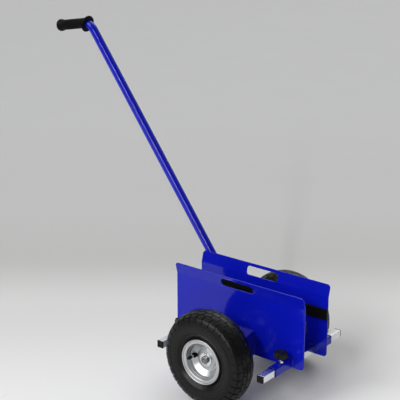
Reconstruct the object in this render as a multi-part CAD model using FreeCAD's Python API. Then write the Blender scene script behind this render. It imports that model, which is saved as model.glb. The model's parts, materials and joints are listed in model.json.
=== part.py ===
import FreeCAD, Part
import math
import os

Vec = FreeCAD.Vector

# A door dolly: two flared side plates, each with its own wheel on a stub axle, slide on two square bars
# and are clamped to them by star knobs. A drawbar with a rubber grip stands in a socket on the left plate.
# Millimetres. The origin is on the floor midway between the wheels, +X points away from the drawbar,
# +Y to the drawbar's side (left) and +Z up. Left pieces are built; right ones are their mirror images.

# Side plates
plate_length = 424.0
plate_wall = 171.0          # upright part, up to the bend
flare_rise = 32.5           # height of the flared top above the bend
axle_above_edge = 22.0      # axle over the plates' lower edges
plate_gap = 105.0           # between the inner faces of the two plates
plate_thickness = 3.0
plate_corner = 10.0
flare_angle = 15.0          # lean of the flared top, degrees
bend_radius = 4.0           # on the hollow side of the bend

# Hand slots in the flared tops
slot_length = 104.0
slot_height = 24.0
slot_corner = 8.0
slot_above_bend = 1.0
slot_setback = 3.0          # slot centre behind the middle of the plate

# Cross bars and the sleeves that they slide in
bar_size = 20.0
bar_wall = 2.0
bar_corner = 2.0
bar_length = 368.0
bar_from_tyre = 26.0        # gap between a bar and the tyres
bar_clearance = 0.5         # each side, in the sleeve
sleeve_wall = 2.0
sleeve_length = 76.0
cap_head = 3.0              # plastic end cap outside the bar
cap_plug = 14.0             # and inside it
cap_clearance = 0.05

# Clamp screws: star knob, threaded stud and welded nut
stud_diameter = 8.0
stud_clearance = 0.06       # thread, each side
stud_tip_gap = 0.3          # loosened stud above the bar
stud_showing = 8.5          # between nut and knob
stud_in_knob = 11.0
nut_flats = 13.0
nut_height = 6.5
knob_diameter = 37.0
knob_height = 15.5
knob_lobes = 6
knob_turn = 56.0            # direction of one lobe, degrees from +X towards +Y
flute_diameter = 15.0
flute_depth = 3.0
knob_edge = 2.0

# Rubber pads along the plates' inner faces
pad_height = 30.0
pad_thickness = 5.0
pad_below_bend = 49.5       # pad's middle under the bend
pad_rib = 1.5               # width of the lengthwise grooves
pad_rib_depth = 1.0
pad_grooves = 4

# Wheels
track = 360.0               # between the wheels' middle planes
tyre_diameter = 260.0
tyre_width = 85.0
tread_width = 68.0          # across the shoulders
shoulder_drop = 11.0        # shoulders below the crown
tread_thickness = 10.0
sidewall_thickness = 6.0
bead_width = 9.0
bead_clearance = 0.2
rim_seat_diameter = 102.0   # where the tyre's beads sit
rim_flange = 11.0           # lip over the seat
rim_width = 67.0            # between the flanges' inner faces
rim_sheet = 2.0
rim_lip_bead = 2.4          # radius of the rolled edge
well_depth = 5.0            # middle of the rim below the seats
well_half_width = 10.0
well_slope = 6.0
tube_over_seat = 9.8        # inner tube above the rim's seat
tube_side_gap = 2.5         # beside the tyre's sidewalls
tube_wall = 2.0
disc_sheet = 2.5
disc_rim_offset = 21.0      # disc's outer edge, outboard of the middle plane
disc_flange = 4.0
disc_low_diameter = 62.0    # bottom of the dish
disc_low_offset = 7.0
disc_step_diameter = 54.0   # raised step round the hub
disc_step_offset = 10.0
back_disc_rim_offset = -8.0
back_disc_hub_offset = -30.0
hub_diameter = 38.0
hub_wall = 4.0
hub_length = 75.0
hub_offset = 12.0           # hub's outer end, outboard of the middle plane
weld_gap = 0.05             # between pieces that are welded or pressed together
bearing_length = 22.0
bearing_recess = 2.0        # bearing behind the hub's end
roller_count = 12
roller_clearance = 0.06
cage_wall = 2.2
cage_clearance = 0.4

# Stub axles and what keeps the wheels on them
axle_diameter = 20.0
axle_chamfer = 1.5
washer_diameter = 37.0
washer_thickness = 3.0
washer_clearance = 0.2
hub_end_play = 0.3
pin_diameter = 4.0
pin_clearance = 0.1
pin_overhang = 5.0          # split pin past the axle on each side
pin_eye = 4.0               # middle radius of its eye
pin_spread = 25.0           # bent legs, degrees
axle_past_pin = 3.5

# Axle brackets
bracket_width = 112.0
bracket_rise = 48.5         # top above the axle, at the plate
bracket_fall = 11.5         # drop of the top towards the wheel
bracket_sheet = 3.0
bracket_bend = 5.0

# Valves
valve_from_well = 6.0       # stem's middle inside the rim's well
valve_offset = 2.0          # where the stem leaves the inner tube
valve_diameter = 6.0
valve_bend = 5.5
valve_end_inset = 0.5       # cap's end inside the tyre's width
valve_cap_diameter = 9.0
valve_cap_length = 15.0
valve_cap_wall = 1.2
valve_angle = 178.0         # round the axle from +X towards +Z, degrees
grommet_diameter = 14.0
grommet_hole = 10.0
grommet_head = 6.0          # in front of the disc
grommet_neck = 2.0          # behind it

# Drawbar, its socket and its grip
drawbar_diameter = 25.0
drawbar_wall = 1.5
drawbar_lean = 36.7         # from upright, degrees
foot_inset = 101.0          # drawbar's foot from the end of the plate
foot_below_bend = 95.0
drawbar_gap = 4.0           # beside the flared plate
lower_drawbar_length = 440.0
upper_drawbar_length = 467.0   # to the corner of the bend
drawbar_bend = 44.0
grip_drop = 9.0             # slope of the grip, degrees
spigot_length = 110.0
spigot_wall = 2.5
spigot_clearance = 0.05
screw_diameter = 6.0
screw_head_diameter = 11.0
screw_head_height = 3.2
screw_length = 12.0
screw_from_seam = 30.0
socket_length = 112.0
socket_floor = 4.0
socket_wall = 3.0
socket_clearance = 0.15
lug_length = 14.0
lug_width = 24.0
lug_from_end = 12.0
guard_place = 9.8           # guard's middle from the corner, along the grip's middle line
grip_reach = 128.0          # from the corner to the grip's end
grip_diameter = 30.0
grip_guard_diameter = 47.0
grip_guard_length = 4.5
grip_bulb_diameter = 36.0
grip_bulb_length = 17.0
grip_end_wall = 6.0
grip_clearance = 0.2

# Shape of the tyre's crown and how closely two places must agree to count as one
crown_bulge_at = 0.6        # part of the way from the middle to the shoulder
crown_bulge_drop = 0.28     # part of the shoulder's drop reached there
same_place = 0.01
same_direction = 1e-6

# Worked out from the sizes above
inner_face = plate_gap / 2
outer_face = inner_face + plate_thickness
axle_z = tyre_diameter / 2
plate_bottom = axle_z - axle_above_edge
plate_bend = plate_bottom + plate_wall
plate_top = plate_bend + flare_rise
flare = math.radians(flare_angle)
flare_out = flare_rise * math.tan(flare)
plate_outermost = inner_face + flare_out + plate_thickness * math.cos(flare)
sleeve_bore = bar_size + 2 * bar_clearance
sleeve_size = sleeve_bore + 2 * sleeve_wall
bar_z = plate_bottom + sleeve_size / 2
bar_x = tyre_diameter / 2 + bar_from_tyre + bar_size / 2
clamp_y = outer_face + sleeve_length / 2
sleeve_top = bar_z + sleeve_size / 2
bar_top = bar_z + bar_size / 2
stud_radius = stud_diameter / 2
axle_radius = axle_diameter / 2
wheel_y = track / 2
hub_outer_end = wheel_y + hub_offset
hub_inner_end = hub_outer_end - hub_length
inner_washer = hub_inner_end - hub_end_play - washer_thickness
outer_washer = hub_outer_end + hub_end_play
pin_y = outer_washer + washer_thickness + pin_clearance + pin_diameter / 2
axle_end = pin_y + pin_diameter / 2 + axle_past_pin
bracket_top = axle_z + bracket_rise
rim_seat = rim_seat_diameter / 2
rim_lip = rim_seat + rim_flange
rim_well = rim_seat - well_depth
hub_bore = hub_diameter / 2 - hub_wall
tyre_inside = tyre_diameter / 2 - tread_thickness
tube_top = tyre_inside - bead_clearance
tube_bottom = rim_seat + tube_over_seat
valve_radius = rim_well - rim_sheet - valve_from_well
drawbar_radius = drawbar_diameter / 2
drawbar_y = plate_outermost + drawbar_gap + drawbar_radius
drawbar_up = Vec(-math.sin(math.radians(drawbar_lean)), 0, math.cos(math.radians(drawbar_lean)))
drawbar_foot = Vec(foot_inset - plate_length / 2, drawbar_y, plate_bend - foot_below_bend)
drawbar_seam = drawbar_foot + drawbar_up * lower_drawbar_length
drawbar_corner = drawbar_seam + drawbar_up * upper_drawbar_length
grip_way = Vec(-math.cos(math.radians(grip_drop)), 0, -math.sin(math.radians(grip_drop)))
socket_radius = drawbar_radius + socket_clearance + socket_wall
spigot_radius = drawbar_radius - drawbar_wall - spigot_clearance


# Simple solids

def box(x0, x1, y0, y1, z0, z1):
    return Part.makeBox(x1 - x0, y1 - y0, z1 - z0, Vec(x0, y0, z0))


def rod(radius, start, way, length):
    return Part.makeCylinder(radius, length, start, way)


def rod_y(radius, y0, y1, x=0.0, z=axle_z):
    return rod(radius, Vec(x, y0, z), Vec(0, 1, 0), y1 - y0)


def ring_y(outer, inner, y0, y1):
    return rod_y(outer, y0, y1).cut(rod_y(inner, y0, y1))


def round_edges(solid, radius, chosen):
    return solid.makeFillet(radius, [edge for edge in solid.Edges if chosen(edge)])


def is_near(one, other):
    return abs(one - other) < same_place


def runs_along(edge, way):
    if len(edge.Vertexes) != 2:
        return False
    run = edge.Vertexes[1].Point - edge.Vertexes[0].Point
    return run.Length > 0 and run.cross(way).Length < same_direction * run.Length


def square_rod(size, corner, y0, y1, x):
    half = size / 2
    solid = box(x - half, x + half, y0, y1, bar_z - half, bar_z + half)
    return round_edges(solid, corner, lambda edge: runs_along(edge, Vec(0, 1, 0)))


def outline(points):
    """A closed wire through points; a pair of points is an arc's middle and its end."""
    edges = []
    last = points[0]
    for item in points[1:]:
        if isinstance(item, tuple):
            middle, end = item
            edges.append(Part.Arc(last, middle, end).toShape())
        else:
            end = item
            edges.append(Part.LineSegment(last, end).toShape())
        last = end
    if not last.isEqual(points[0], same_place):
        edges.append(Part.LineSegment(last, points[0]).toShape())
    return Part.Wire(edges)


def turned(points):
    """A solid turned about the left axle from an outline of (offset, radius) points."""
    def place(point):
        return Vec(0, wheel_y + point[0], axle_z + point[1])
    placed = []
    for item in points:
        if isinstance(item[0], tuple):
            placed.append((place(item[0]), place(item[1])))
        else:
            placed.append(place(item))
    return Part.Face(outline(placed)).revolve(Vec(0, 0, axle_z), Vec(0, 1, 0), 360)


def hexagon(flats, height, base, way):
    corner = flats / math.sqrt(3)
    points = []
    for step in range(6):
        angle = math.radians(60 * step)
        points.append(Vec(corner * math.cos(angle), corner * math.sin(angle), 0))
    solid = Part.Face(outline(points)).extrude(Vec(0, 0, height))
    solid.Placement = FreeCAD.Placement(base, FreeCAD.Rotation(Vec(0, 0, 1), way))
    return solid


def mirrored(shape):
    return shape.mirror(Vec(0, 0, 0), Vec(0, 1, 0))


# Side plate and what is fixed to it

def side_plate():
    lean_y = plate_thickness * math.cos(flare)
    lean_z = plate_thickness * math.sin(flare)
    bend_drop = plate_thickness * math.tan(flare / 2)
    half = plate_length / 2
    profile = outline([
        Vec(-half, inner_face, plate_bottom),
        Vec(-half, inner_face, plate_bend),
        Vec(-half, inner_face + flare_out, plate_top),
        Vec(-half, inner_face + flare_out + lean_y, plate_top - lean_z),
        Vec(-half, outer_face, plate_bend - bend_drop),
        Vec(-half, outer_face, plate_bottom),
    ])
    sheet = Part.Face(profile).extrude(Vec(plate_length, 0, 0))

    def at_bend(edge, y, z):
        middle = edge.CenterOfMass
        return runs_along(edge, Vec(1, 0, 0)) and is_near(middle.y, y) and is_near(middle.z, z)

    def is_corner(edge):
        return is_near(edge.Length, plate_thickness) and is_near(abs(edge.CenterOfMass.x), half)

    sheet = round_edges(sheet, plate_corner, is_corner)
    outer_radius = bend_radius + plate_thickness
    sheet = round_edges(sheet, outer_radius, lambda edge: at_bend(edge, inner_face, plate_bend))
    sheet = round_edges(sheet, bend_radius, lambda edge: at_bend(edge, outer_face, plate_bend - bend_drop))
    sheet = sheet.cut(hand_slot())
    hole = sleeve_bore / 2
    for x in (-bar_x, bar_x):
        sheet = sheet.cut(box(x - hole, x + hole, inner_face, outer_face, bar_z - hole, bar_z + hole))
    return sheet.cut(rod_y(axle_radius + weld_gap, inner_face, outer_face))


def hand_slot():
    past = plate_thickness
    left = -slot_setback - slot_length / 2
    low = plate_bend + slot_above_bend
    solid = box(left, left + slot_length, inner_face - past, outer_face + past, low, low + slot_height)
    solid = round_edges(solid, slot_corner, lambda edge: runs_along(edge, Vec(0, 1, 0)))
    solid.rotate(Vec(0, inner_face, plate_bend), Vec(1, 0, 0), -flare_angle)
    return solid


def sleeve(x):
    outer = square_rod(sleeve_size, bar_corner + sleeve_wall, outer_face, outer_face + sleeve_length, x)
    bore = square_rod(sleeve_bore, bar_corner, outer_face, outer_face + sleeve_length, x)
    stud_hole = rod(stud_radius + stud_clearance, Vec(x, clamp_y, bar_z), Vec(0, 0, 1), sleeve_size)
    return outer.cut(bore).cut(stud_hole)


def clamp_nut(base, way):
    nut = hexagon(nut_flats, nut_height, base, way)
    return nut.cut(rod(stud_radius + stud_clearance, base, way, nut_height))


def pad():
    half = plate_length / 2
    low = plate_bend - pad_below_bend - pad_height / 2
    face = inner_face - pad_thickness
    strip = box(-half, half, face, inner_face, low, low + pad_height)
    pitch = pad_height / (pad_grooves + 1)
    for count in range(pad_grooves):
        middle = low + pitch * (count + 1)
        groove = box(-half, half, face, face + pad_rib_depth, middle - pad_rib / 2, middle + pad_rib / 2)
        strip = strip.cut(groove)
    return strip


def axle_bracket():
    hollow = bracket_block(bracket_sheet)
    return bracket_block(0).cut(hollow).cut(rod_y(axle_radius + weld_gap, outer_face, inner_washer))


def bracket_block(inset):
    """The bracket's outer shape, or its hollow: a block on the plate with a sloping top."""
    slope = bracket_fall / (inner_washer - outer_face)
    half = bracket_width / 2 - inset
    end = inner_washer - inset
    high = bracket_top - inset
    low = high - slope * (end - outer_face)
    side = outline([
        Vec(-half, outer_face, plate_bottom),
        Vec(-half, outer_face, high),
        Vec(-half, end, low),
        Vec(-half, end, plate_bottom),
    ])
    block = Part.Face(side).extrude(Vec(2 * half, 0, 0))
    return round_edges(block, bracket_bend - inset, lambda edge: runs_along(edge, Vec(0, 1, -slope)))


def stub_axle():
    shaft = rod_y(axle_radius, inner_face, axle_end)
    edge_at_end = [edge for edge in shaft.Edges if is_near(edge.CenterOfMass.y, axle_end)]
    shaft = shaft.makeChamfer(axle_chamfer, edge_at_end)
    hole = pin_diameter / 2 + pin_clearance
    return shaft.cut(rod(hole, Vec(0, pin_y, axle_z - axle_diameter), Vec(0, 0, 1), 2 * axle_diameter))


def axle_washers():
    outer = washer_diameter / 2
    bore = axle_radius + washer_clearance
    washers = [ring_y(outer, bore, y, y + washer_thickness) for y in (inner_washer, outer_washer)]
    return Part.makeCompound(washers)


def split_pin():
    radius = pin_diameter / 2
    reach = axle_radius + pin_overhang
    foot = Vec(0, pin_y, axle_z - axle_radius - radius)
    pin = rod(radius, foot, Vec(0, 0, 1), axle_radius + radius + reach)
    eye_middle = Vec(0, pin_y, axle_z + reach + pin_eye - radius / 2)
    pin = pin.fuse(Part.makeTorus(pin_eye, radius / 2, eye_middle, Vec(0, 1, 0)))
    for side in (-1, 1):
        lean = math.radians(side * pin_spread)
        leg_way = Vec(math.sin(lean), 0, -math.cos(lean))
        pin = pin.fuse(rod(radius / 2, foot + Vec(side * radius / 2, 0, radius / 2), leg_way, pin_overhang))
    return pin.removeSplitter()


# Clamp screws

def knob(base, way):
    radius = knob_diameter / 2
    body = Part.makeCylinder(radius, knob_height)
    flute = flute_diameter / 2
    for count in range(knob_lobes):
        angle = math.radians(knob_turn) + 2 * math.pi * (count + 0.5) / knob_lobes
        distance = radius - flute_depth + flute
        centre = Vec(distance * math.cos(angle), distance * math.sin(angle), 0)
        body = body.cut(Part.makeCylinder(flute, knob_height, centre))
    top_edges = [edge for edge in body.Edges if is_near(edge.BoundBox.ZMin, knob_height)]
    body = body.makeChamfer(knob_edge, top_edges)
    body = body.cut(Part.makeCylinder(stud_radius + weld_gap, stud_in_knob))
    body.Placement = FreeCAD.Placement(base, FreeCAD.Rotation(Vec(0, 0, 1), way))
    return body


def clamp_screw(nut_base, way, tip):
    """Nut, stud and knob of one clamp, from the nut's seat outwards."""
    knob_base = nut_base + way * (nut_height + stud_showing)
    length = (knob_base - tip).dot(way) + stud_in_knob
    return clamp_nut(nut_base, way), rod(stud_radius, tip, way, length), knob(knob_base, way)


def bar_clamp(x):
    return clamp_screw(Vec(x, clamp_y, sleeve_top), Vec(0, 0, 1), Vec(x, clamp_y, bar_top + stud_tip_gap))


# Cross bars

def cross_bar(x):
    half = bar_length / 2 - cap_head
    tube = square_rod(bar_size, bar_corner, -half, half, x)
    bore = bar_size - 2 * bar_wall
    return tube.cut(box(x - bore / 2, x + bore / 2, -half, half, bar_z - bore / 2, bar_z + bore / 2))


def end_caps(x):
    end = bar_length / 2
    plug = bar_size / 2 - bar_wall - cap_clearance
    head = square_rod(bar_size, bar_corner, end - cap_head, end, x)
    body = box(x - plug, x + plug, end - cap_head - cap_plug, end - cap_head, bar_z - plug, bar_z + plug)
    cap = head.fuse(body).removeSplitter()
    return Part.makeCompound([cap, mirrored(cap)])


# Wheel

def both_sides(half_points):
    """Closes an outline by mirroring its outboard half, which starts and ends on the middle plane."""
    def flip(point):
        return (-point[0], point[1])
    result = list(half_points)
    corners = [item[1] if isinstance(item[0], tuple) else item for item in half_points]
    for index in range(len(half_points) - 1, 0, -1):
        item = half_points[index]
        target = flip(corners[index - 1])
        if isinstance(item[0], tuple):
            result.append((flip(item[0]), target))
        elif index > 1:
            result.append(target)
    return result


def tyre():
    crown = tyre_diameter / 2
    side = tyre_width / 2
    shoulder = (tread_width / 2, crown - shoulder_drop)
    bead_out = rim_width / 2 - bead_clearance
    bead_foot = rim_seat + bead_clearance
    bead_top = rim_lip + bead_clearance
    widest = (shoulder[1] + bead_top) / 2
    inner_side = side - sidewall_thickness
    inner_shoulder_top = shoulder[1] - tread_thickness + sidewall_thickness / 2
    inner_shoulder = (shoulder[0] - sidewall_thickness, inner_shoulder_top)
    inner_drop = tyre_inside - inner_shoulder[1]
    crown_middle = (shoulder[0] * crown_bulge_at, crown - shoulder_drop * crown_bulge_drop)
    inner_middle = (inner_shoulder[0] * crown_bulge_at, tyre_inside - inner_drop * crown_bulge_drop)
    bead_in = bead_out - bead_width
    return turned(both_sides([
        (0, crown),
        (crown_middle, shoulder),
        ((side, widest), (bead_out, bead_top)),
        (bead_out, bead_foot),
        (bead_in, bead_foot),
        (bead_in + bead_width - sidewall_thickness, bead_top),
        ((inner_side, widest), inner_shoulder),
        (inner_middle, (0, tyre_inside)),
    ]))


def inner_tube():
    half_width = tyre_width / 2 - sidewall_thickness - tube_side_gap
    half_height = (tube_top - tube_bottom) / 2
    skin = turned_oval(half_width, half_height)
    return skin.cut(turned_oval(half_width - tube_wall, half_height - tube_wall))


def turned_oval(half_width, half_height):
    centre = Vec(0, wheel_y, axle_z + (tube_top + tube_bottom) / 2)
    side = centre + Vec(0, half_width, 0)
    top = centre + Vec(0, 0, half_height)
    longer, shorter = (side, top) if half_width > half_height else (top, side)
    oval = Part.Wire(Part.Ellipse(longer, shorter, centre).toShape())
    return Part.Face(oval).revolve(Vec(0, 0, axle_z), Vec(0, 1, 0), 360)


def rim():
    flange = rim_width / 2
    slope_end = well_half_width + well_slope
    lip = rim_lip - rim_lip_bead
    barrel = turned(both_sides([
        (0, rim_well),
        (well_half_width, rim_well),
        (slope_end, rim_seat),
        (flange, rim_seat),
        (flange, lip),
        (flange + rim_sheet, lip),
        (flange + rim_sheet, rim_seat - rim_sheet),
        (slope_end + rim_sheet / 2, rim_seat - rim_sheet),
        (well_half_width + rim_sheet / 2, rim_well - rim_sheet),
        (0, rim_well - rim_sheet),
    ]))
    for side in (-1, 1):
        centre = Vec(0, wheel_y + side * (flange + rim_lip_bead), axle_z)
        barrel = barrel.fuse(Part.makeTorus(lip, rim_lip_bead, centre, Vec(0, 1, 0)))
    return barrel.cut(valve_stem_room())


def pressed_disc(points):
    """A turned sheet through (offset, radius) points, as thick along the axle as the disc's sheet."""
    back = [(offset - disc_sheet, radius) for offset, radius in reversed(points)]
    return turned(points + back)


def dish_points():
    edge = rim_seat - rim_sheet - weld_gap
    return [
        (disc_rim_offset, edge),
        (disc_rim_offset - disc_sheet, edge - disc_sheet),
        (disc_low_offset, disc_low_diameter / 2),
        (disc_step_offset, disc_step_diameter / 2),
        (disc_step_offset, hub_diameter / 2 + weld_gap),
    ]


def front_disc():
    dish = pressed_disc(dish_points())
    edge = rim_seat - rim_sheet - weld_gap
    flange = turned([
        (disc_rim_offset, edge),
        (disc_rim_offset + disc_flange, edge),
        (disc_rim_offset + disc_flange, edge - disc_sheet),
        (disc_rim_offset - disc_sheet, edge - disc_sheet),
    ])
    return dish.fuse(flange).removeSplitter().cut(valve_hole())


def back_disc():
    edge = rim_well - rim_sheet - weld_gap
    hub = hub_diameter / 2 + weld_gap
    return pressed_disc([(back_disc_rim_offset, edge), (back_disc_hub_offset, hub)])


def hub():
    return ring_y(hub_diameter / 2, hub_bore, hub_inner_end, hub_outer_end)


def bearing_starts():
    return (hub_inner_end + bearing_recess, hub_outer_end - bearing_recess - bearing_length)


def bearing_pitch():
    return (hub_bore + axle_radius) / 2


def roller_radius():
    return (hub_bore - axle_radius) / 2 - roller_clearance


def roller_rods(radius, start, length):
    rods = []
    for count in range(roller_count):
        angle = 2 * math.pi * count / roller_count
        x = bearing_pitch() * math.cos(angle)
        z = axle_z + bearing_pitch() * math.sin(angle)
        rods.append(rod_y(radius, start, start + length, x, z))
    return rods


def bearing_rollers():
    length = bearing_length - 2 * cage_wall
    rollers = []
    for start in bearing_starts():
        rollers += roller_rods(roller_radius(), start + cage_wall, length)
    return Part.makeCompound(rollers)


def bearing_cages():
    cages = []
    pocket = roller_radius() + roller_clearance
    length = bearing_length - 2 * cage_wall + 2 * roller_clearance
    outer = hub_bore - cage_clearance
    bore = axle_radius + cage_clearance
    for start in bearing_starts():
        cage = ring_y(outer, bore, start, start + bearing_length)
        for room in roller_rods(pocket, start + cage_wall - roller_clearance, length):
            cage = cage.cut(room)
        cages.append(cage)
    return Part.makeCompound(cages)


# Valve: built on the +X side of the axle and turned to its place

def turn_to_valve(shape):
    shape.rotate(Vec(0, 0, axle_z), Vec(0, 1, 0), -valve_angle)
    return shape


def valve_way(start_radius, end):
    start = Vec(start_radius, wheel_y + valve_offset, axle_z)
    before = Vec(valve_radius + valve_bend, wheel_y + valve_offset, axle_z)
    after = Vec(valve_radius, wheel_y + valve_offset + valve_bend, axle_z)
    inset = valve_bend * (1 - math.sqrt(0.5))
    middle = Vec(valve_radius + inset, wheel_y + valve_offset + inset, axle_z)
    stop = Vec(valve_radius, end, axle_z)
    edges = [
        Part.LineSegment(start, before).toShape(),
        Part.Arc(before, middle, after).toShape(),
        Part.LineSegment(after, stop).toShape(),
    ]
    return Part.Wire(edges)


def valve_pipe(radius, start_radius, end):
    start = Vec(start_radius, wheel_y + valve_offset, axle_z)
    section = Part.Wire(Part.makeCircle(radius, start, Vec(1, 0, 0)))
    return valve_way(start_radius, end).makePipeShell([section], True, False)


def valve_tip():
    return wheel_y + tyre_width / 2 - valve_end_inset - valve_cap_wall


def valve_stem():
    return turn_to_valve(valve_pipe(valve_diameter / 2, tube_bottom - weld_gap, valve_tip()))


def valve_stem_room():
    radius = valve_diameter / 2 + bead_clearance
    start = Vec(rim_seat, wheel_y + valve_offset, axle_z)
    return turn_to_valve(rod(radius, start, Vec(-1, 0, 0), rim_seat - valve_radius))


def valve_hole():
    start = Vec(valve_radius, wheel_y, axle_z)
    return turn_to_valve(rod(grommet_hole / 2, start, Vec(0, 1, 0), disc_rim_offset + disc_flange))


def valve_cap():
    end = valve_tip() + valve_cap_wall
    cap = rod_y(valve_cap_diameter / 2, end - valve_cap_length, end, valve_radius)
    room = rod_y(valve_diameter / 2 + weld_gap, end - valve_cap_length, valve_tip(), valve_radius)
    return turn_to_valve(cap.cut(room))


def valve_grommet():
    """A rubber plug whose head lies on the dish and whose neck goes through the disc's hole."""
    (high, high_radius), (low, low_radius) = dish_points()[1:3]
    on_dish = low + (high - low) * (valve_radius - low_radius) / (high_radius - low_radius)
    front = wheel_y + on_dish + grommet_head
    back = wheel_y + on_dish - disc_sheet - grommet_neck
    head = rod_y(grommet_diameter / 2, back, front, valve_radius)
    neck = rod_y(grommet_hole / 2 - weld_gap, back, front, valve_radius)
    stem = rod_y(valve_diameter / 2 + weld_gap, back, front, valve_radius)
    return turn_to_valve(head.cut(behind_dish()).fuse(neck).removeSplitter().cut(stem))


def behind_dish():
    front = [(offset + weld_gap, radius) for offset, radius in dish_points()]
    return turned(front + [(-hub_length, hub_diameter / 2), (-hub_length, rim_seat)])


# Drawbar

def drawbar_socket():
    start = drawbar_foot - drawbar_up * socket_floor
    tube = rod(socket_radius, start, drawbar_up, socket_length)
    bore = rod(drawbar_radius + socket_clearance, drawbar_foot, drawbar_up, socket_length)
    stud_hole = rod(stud_radius + stud_clearance, socket_clamp_middle(), Vec(0, 1, 0), 2 * socket_radius)
    return tube.cut(bore).cut(stud_hole)


def socket_clamp_middle():
    return drawbar_foot + drawbar_up * (socket_length / 2 - socket_floor)


def socket_lugs():
    lugs = []
    lean = FreeCAD.Rotation(Vec(0, 0, 1), drawbar_up)
    seat_start = drawbar_foot - drawbar_up * socket_length
    seat = rod(socket_radius + weld_gap, seat_start, drawbar_up, 3 * socket_length)
    for distance in (lug_from_end, socket_length - lug_from_end - lug_length):
        lug = Part.makeBox(lug_width, drawbar_y - outer_face, lug_length)
        foot = drawbar_foot + drawbar_up * (distance - socket_floor)
        across = lean.multVec(Vec(1, 0, 0))
        corner = Vec(foot.x, outer_face, foot.z) - across * (lug_width / 2)
        lug.Placement = FreeCAD.Placement(corner, lean)
        lugs.append(lug.cut(seat))
    return Part.makeCompound(lugs)


def socket_clamp():
    middle = socket_clamp_middle()
    way = Vec(0, 1, 0)
    return clamp_screw(middle + way * socket_radius, way, middle + way * (drawbar_radius + stud_tip_gap))


def lower_drawbar():
    outer = rod(drawbar_radius, drawbar_foot, drawbar_up, lower_drawbar_length)
    inner = rod(drawbar_radius - drawbar_wall, drawbar_foot, drawbar_up, lower_drawbar_length)
    return outer.cut(inner).cut(screw_rooms())


def bend_tangent():
    """Length of the drawbar that the bend takes on each side of its corner."""
    return drawbar_bend * math.tan(drawbar_up.getAngle(grip_way) / 2)


def on_bend(turn_back):
    """Place on the bend and its direction there, an angle in degrees before the bend's end."""
    end = drawbar_corner + grip_way * bend_tangent()
    inward = (grip_way - drawbar_up).normalize()
    centre = drawbar_corner + inward * (drawbar_bend / math.cos(drawbar_up.getAngle(grip_way) / 2))
    back = FreeCAD.Rotation(drawbar_up.cross(grip_way), -turn_back)
    return centre + back.multVec(end - centre), back.multVec(grip_way)


def drawbar_pipe(radius, end_distance):
    turn = math.degrees(drawbar_up.getAngle(grip_way))
    before, middle, after = [on_bend(part * turn)[0] for part in (1, 0.5, 0)]
    edges = [
        Part.LineSegment(drawbar_seam, before).toShape(),
        Part.Arc(before, middle, after).toShape(),
        Part.LineSegment(after, drawbar_corner + grip_way * end_distance).toShape(),
    ]
    section = Part.Wire(Part.makeCircle(radius, drawbar_seam, drawbar_up))
    return Part.Wire(edges).makePipeShell([section], True, False)


def upper_drawbar():
    end = grip_reach - grip_end_wall
    outer = drawbar_pipe(drawbar_radius, end)
    return outer.cut(drawbar_pipe(drawbar_radius - drawbar_wall, end)).cut(screw_rooms())


def spigot():
    start = drawbar_seam - drawbar_up * (spigot_length / 2)
    tube = rod(spigot_radius, start, drawbar_up, spigot_length)
    return tube.cut(rod(spigot_radius - spigot_wall, start, drawbar_up, spigot_length)).cut(screw_rooms())


def screw_seats():
    """Where each screw's head sits on the side of the drawbar that faces away from the plates."""
    middles = [drawbar_seam + drawbar_up * (side * screw_from_seam) for side in (-1, 1)]
    return [middle + Vec(0, drawbar_radius, 0) for middle in middles]


def screw_rooms():
    radius = screw_diameter / 2 + weld_gap
    return Part.makeCompound([rod(radius, seat, Vec(0, -1, 0), drawbar_radius) for seat in screw_seats()])


def seam_screws():
    screws = []
    for seat in screw_seats():
        shank = rod(screw_diameter / 2, seat, Vec(0, -1, 0), screw_length)
        head = rod(screw_head_diameter / 2, seat, Vec(0, 1, 0), screw_head_height)
        head_top = seat.y + screw_head_height
        rim_of_head = [edge for edge in head.Edges if is_near(edge.CenterOfMass.y, head_top)]
        head = head.makeFillet(screw_head_height / 2, rim_of_head)
        screws.append(head.fuse(shank).removeSplitter())
    return Part.makeCompound(screws)


def round_bar(points, origin, way):
    """A solid turned about way from an outline of points in XZ, whose Z runs along way from origin."""
    solid = Part.Face(outline(points)).revolve(Vec(0, 0, 0), Vec(0, 0, 1), 360)
    solid.Placement = FreeCAD.Placement(origin, FreeCAD.Rotation(Vec(0, 0, 1), way))
    return solid


def grip():
    """A rubber grip whose guard disc sits on the bend, square to the tube there."""
    body = grip_diameter / 2
    bulb = grip_bulb_diameter / 2
    bulb_start = grip_reach - grip_bulb_length
    handle = round_bar([
        Vec(0, 0, 0),
        Vec(body, 0, 0),
        Vec(body, 0, bulb_start),
        (Vec(bulb, 0, bulb_start + grip_bulb_length / 2), Vec(body, 0, grip_reach)),
        Vec(0, 0, grip_reach),
    ], drawbar_corner, grip_way)
    guard = grip_guard_diameter / 2
    half = grip_guard_length / 2
    middle, way = on_bend(math.degrees((bend_tangent() - guard_place) / drawbar_bend))
    disc = round_bar([
        Vec(0, 0, -half),
        Vec(guard, 0, -half),
        (Vec(guard + half / 2, 0, 0), Vec(guard, 0, half)),
        Vec(0, 0, half),
    ], middle, way)
    behind_guard = rod(grip_reach, middle, way * -1, grip_reach)
    solid = handle.cut(behind_guard).fuse(disc).removeSplitter()
    return solid.cut(drawbar_pipe(drawbar_radius + grip_clearance, grip_reach - grip_end_wall))


# Every piece, by name

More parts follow.
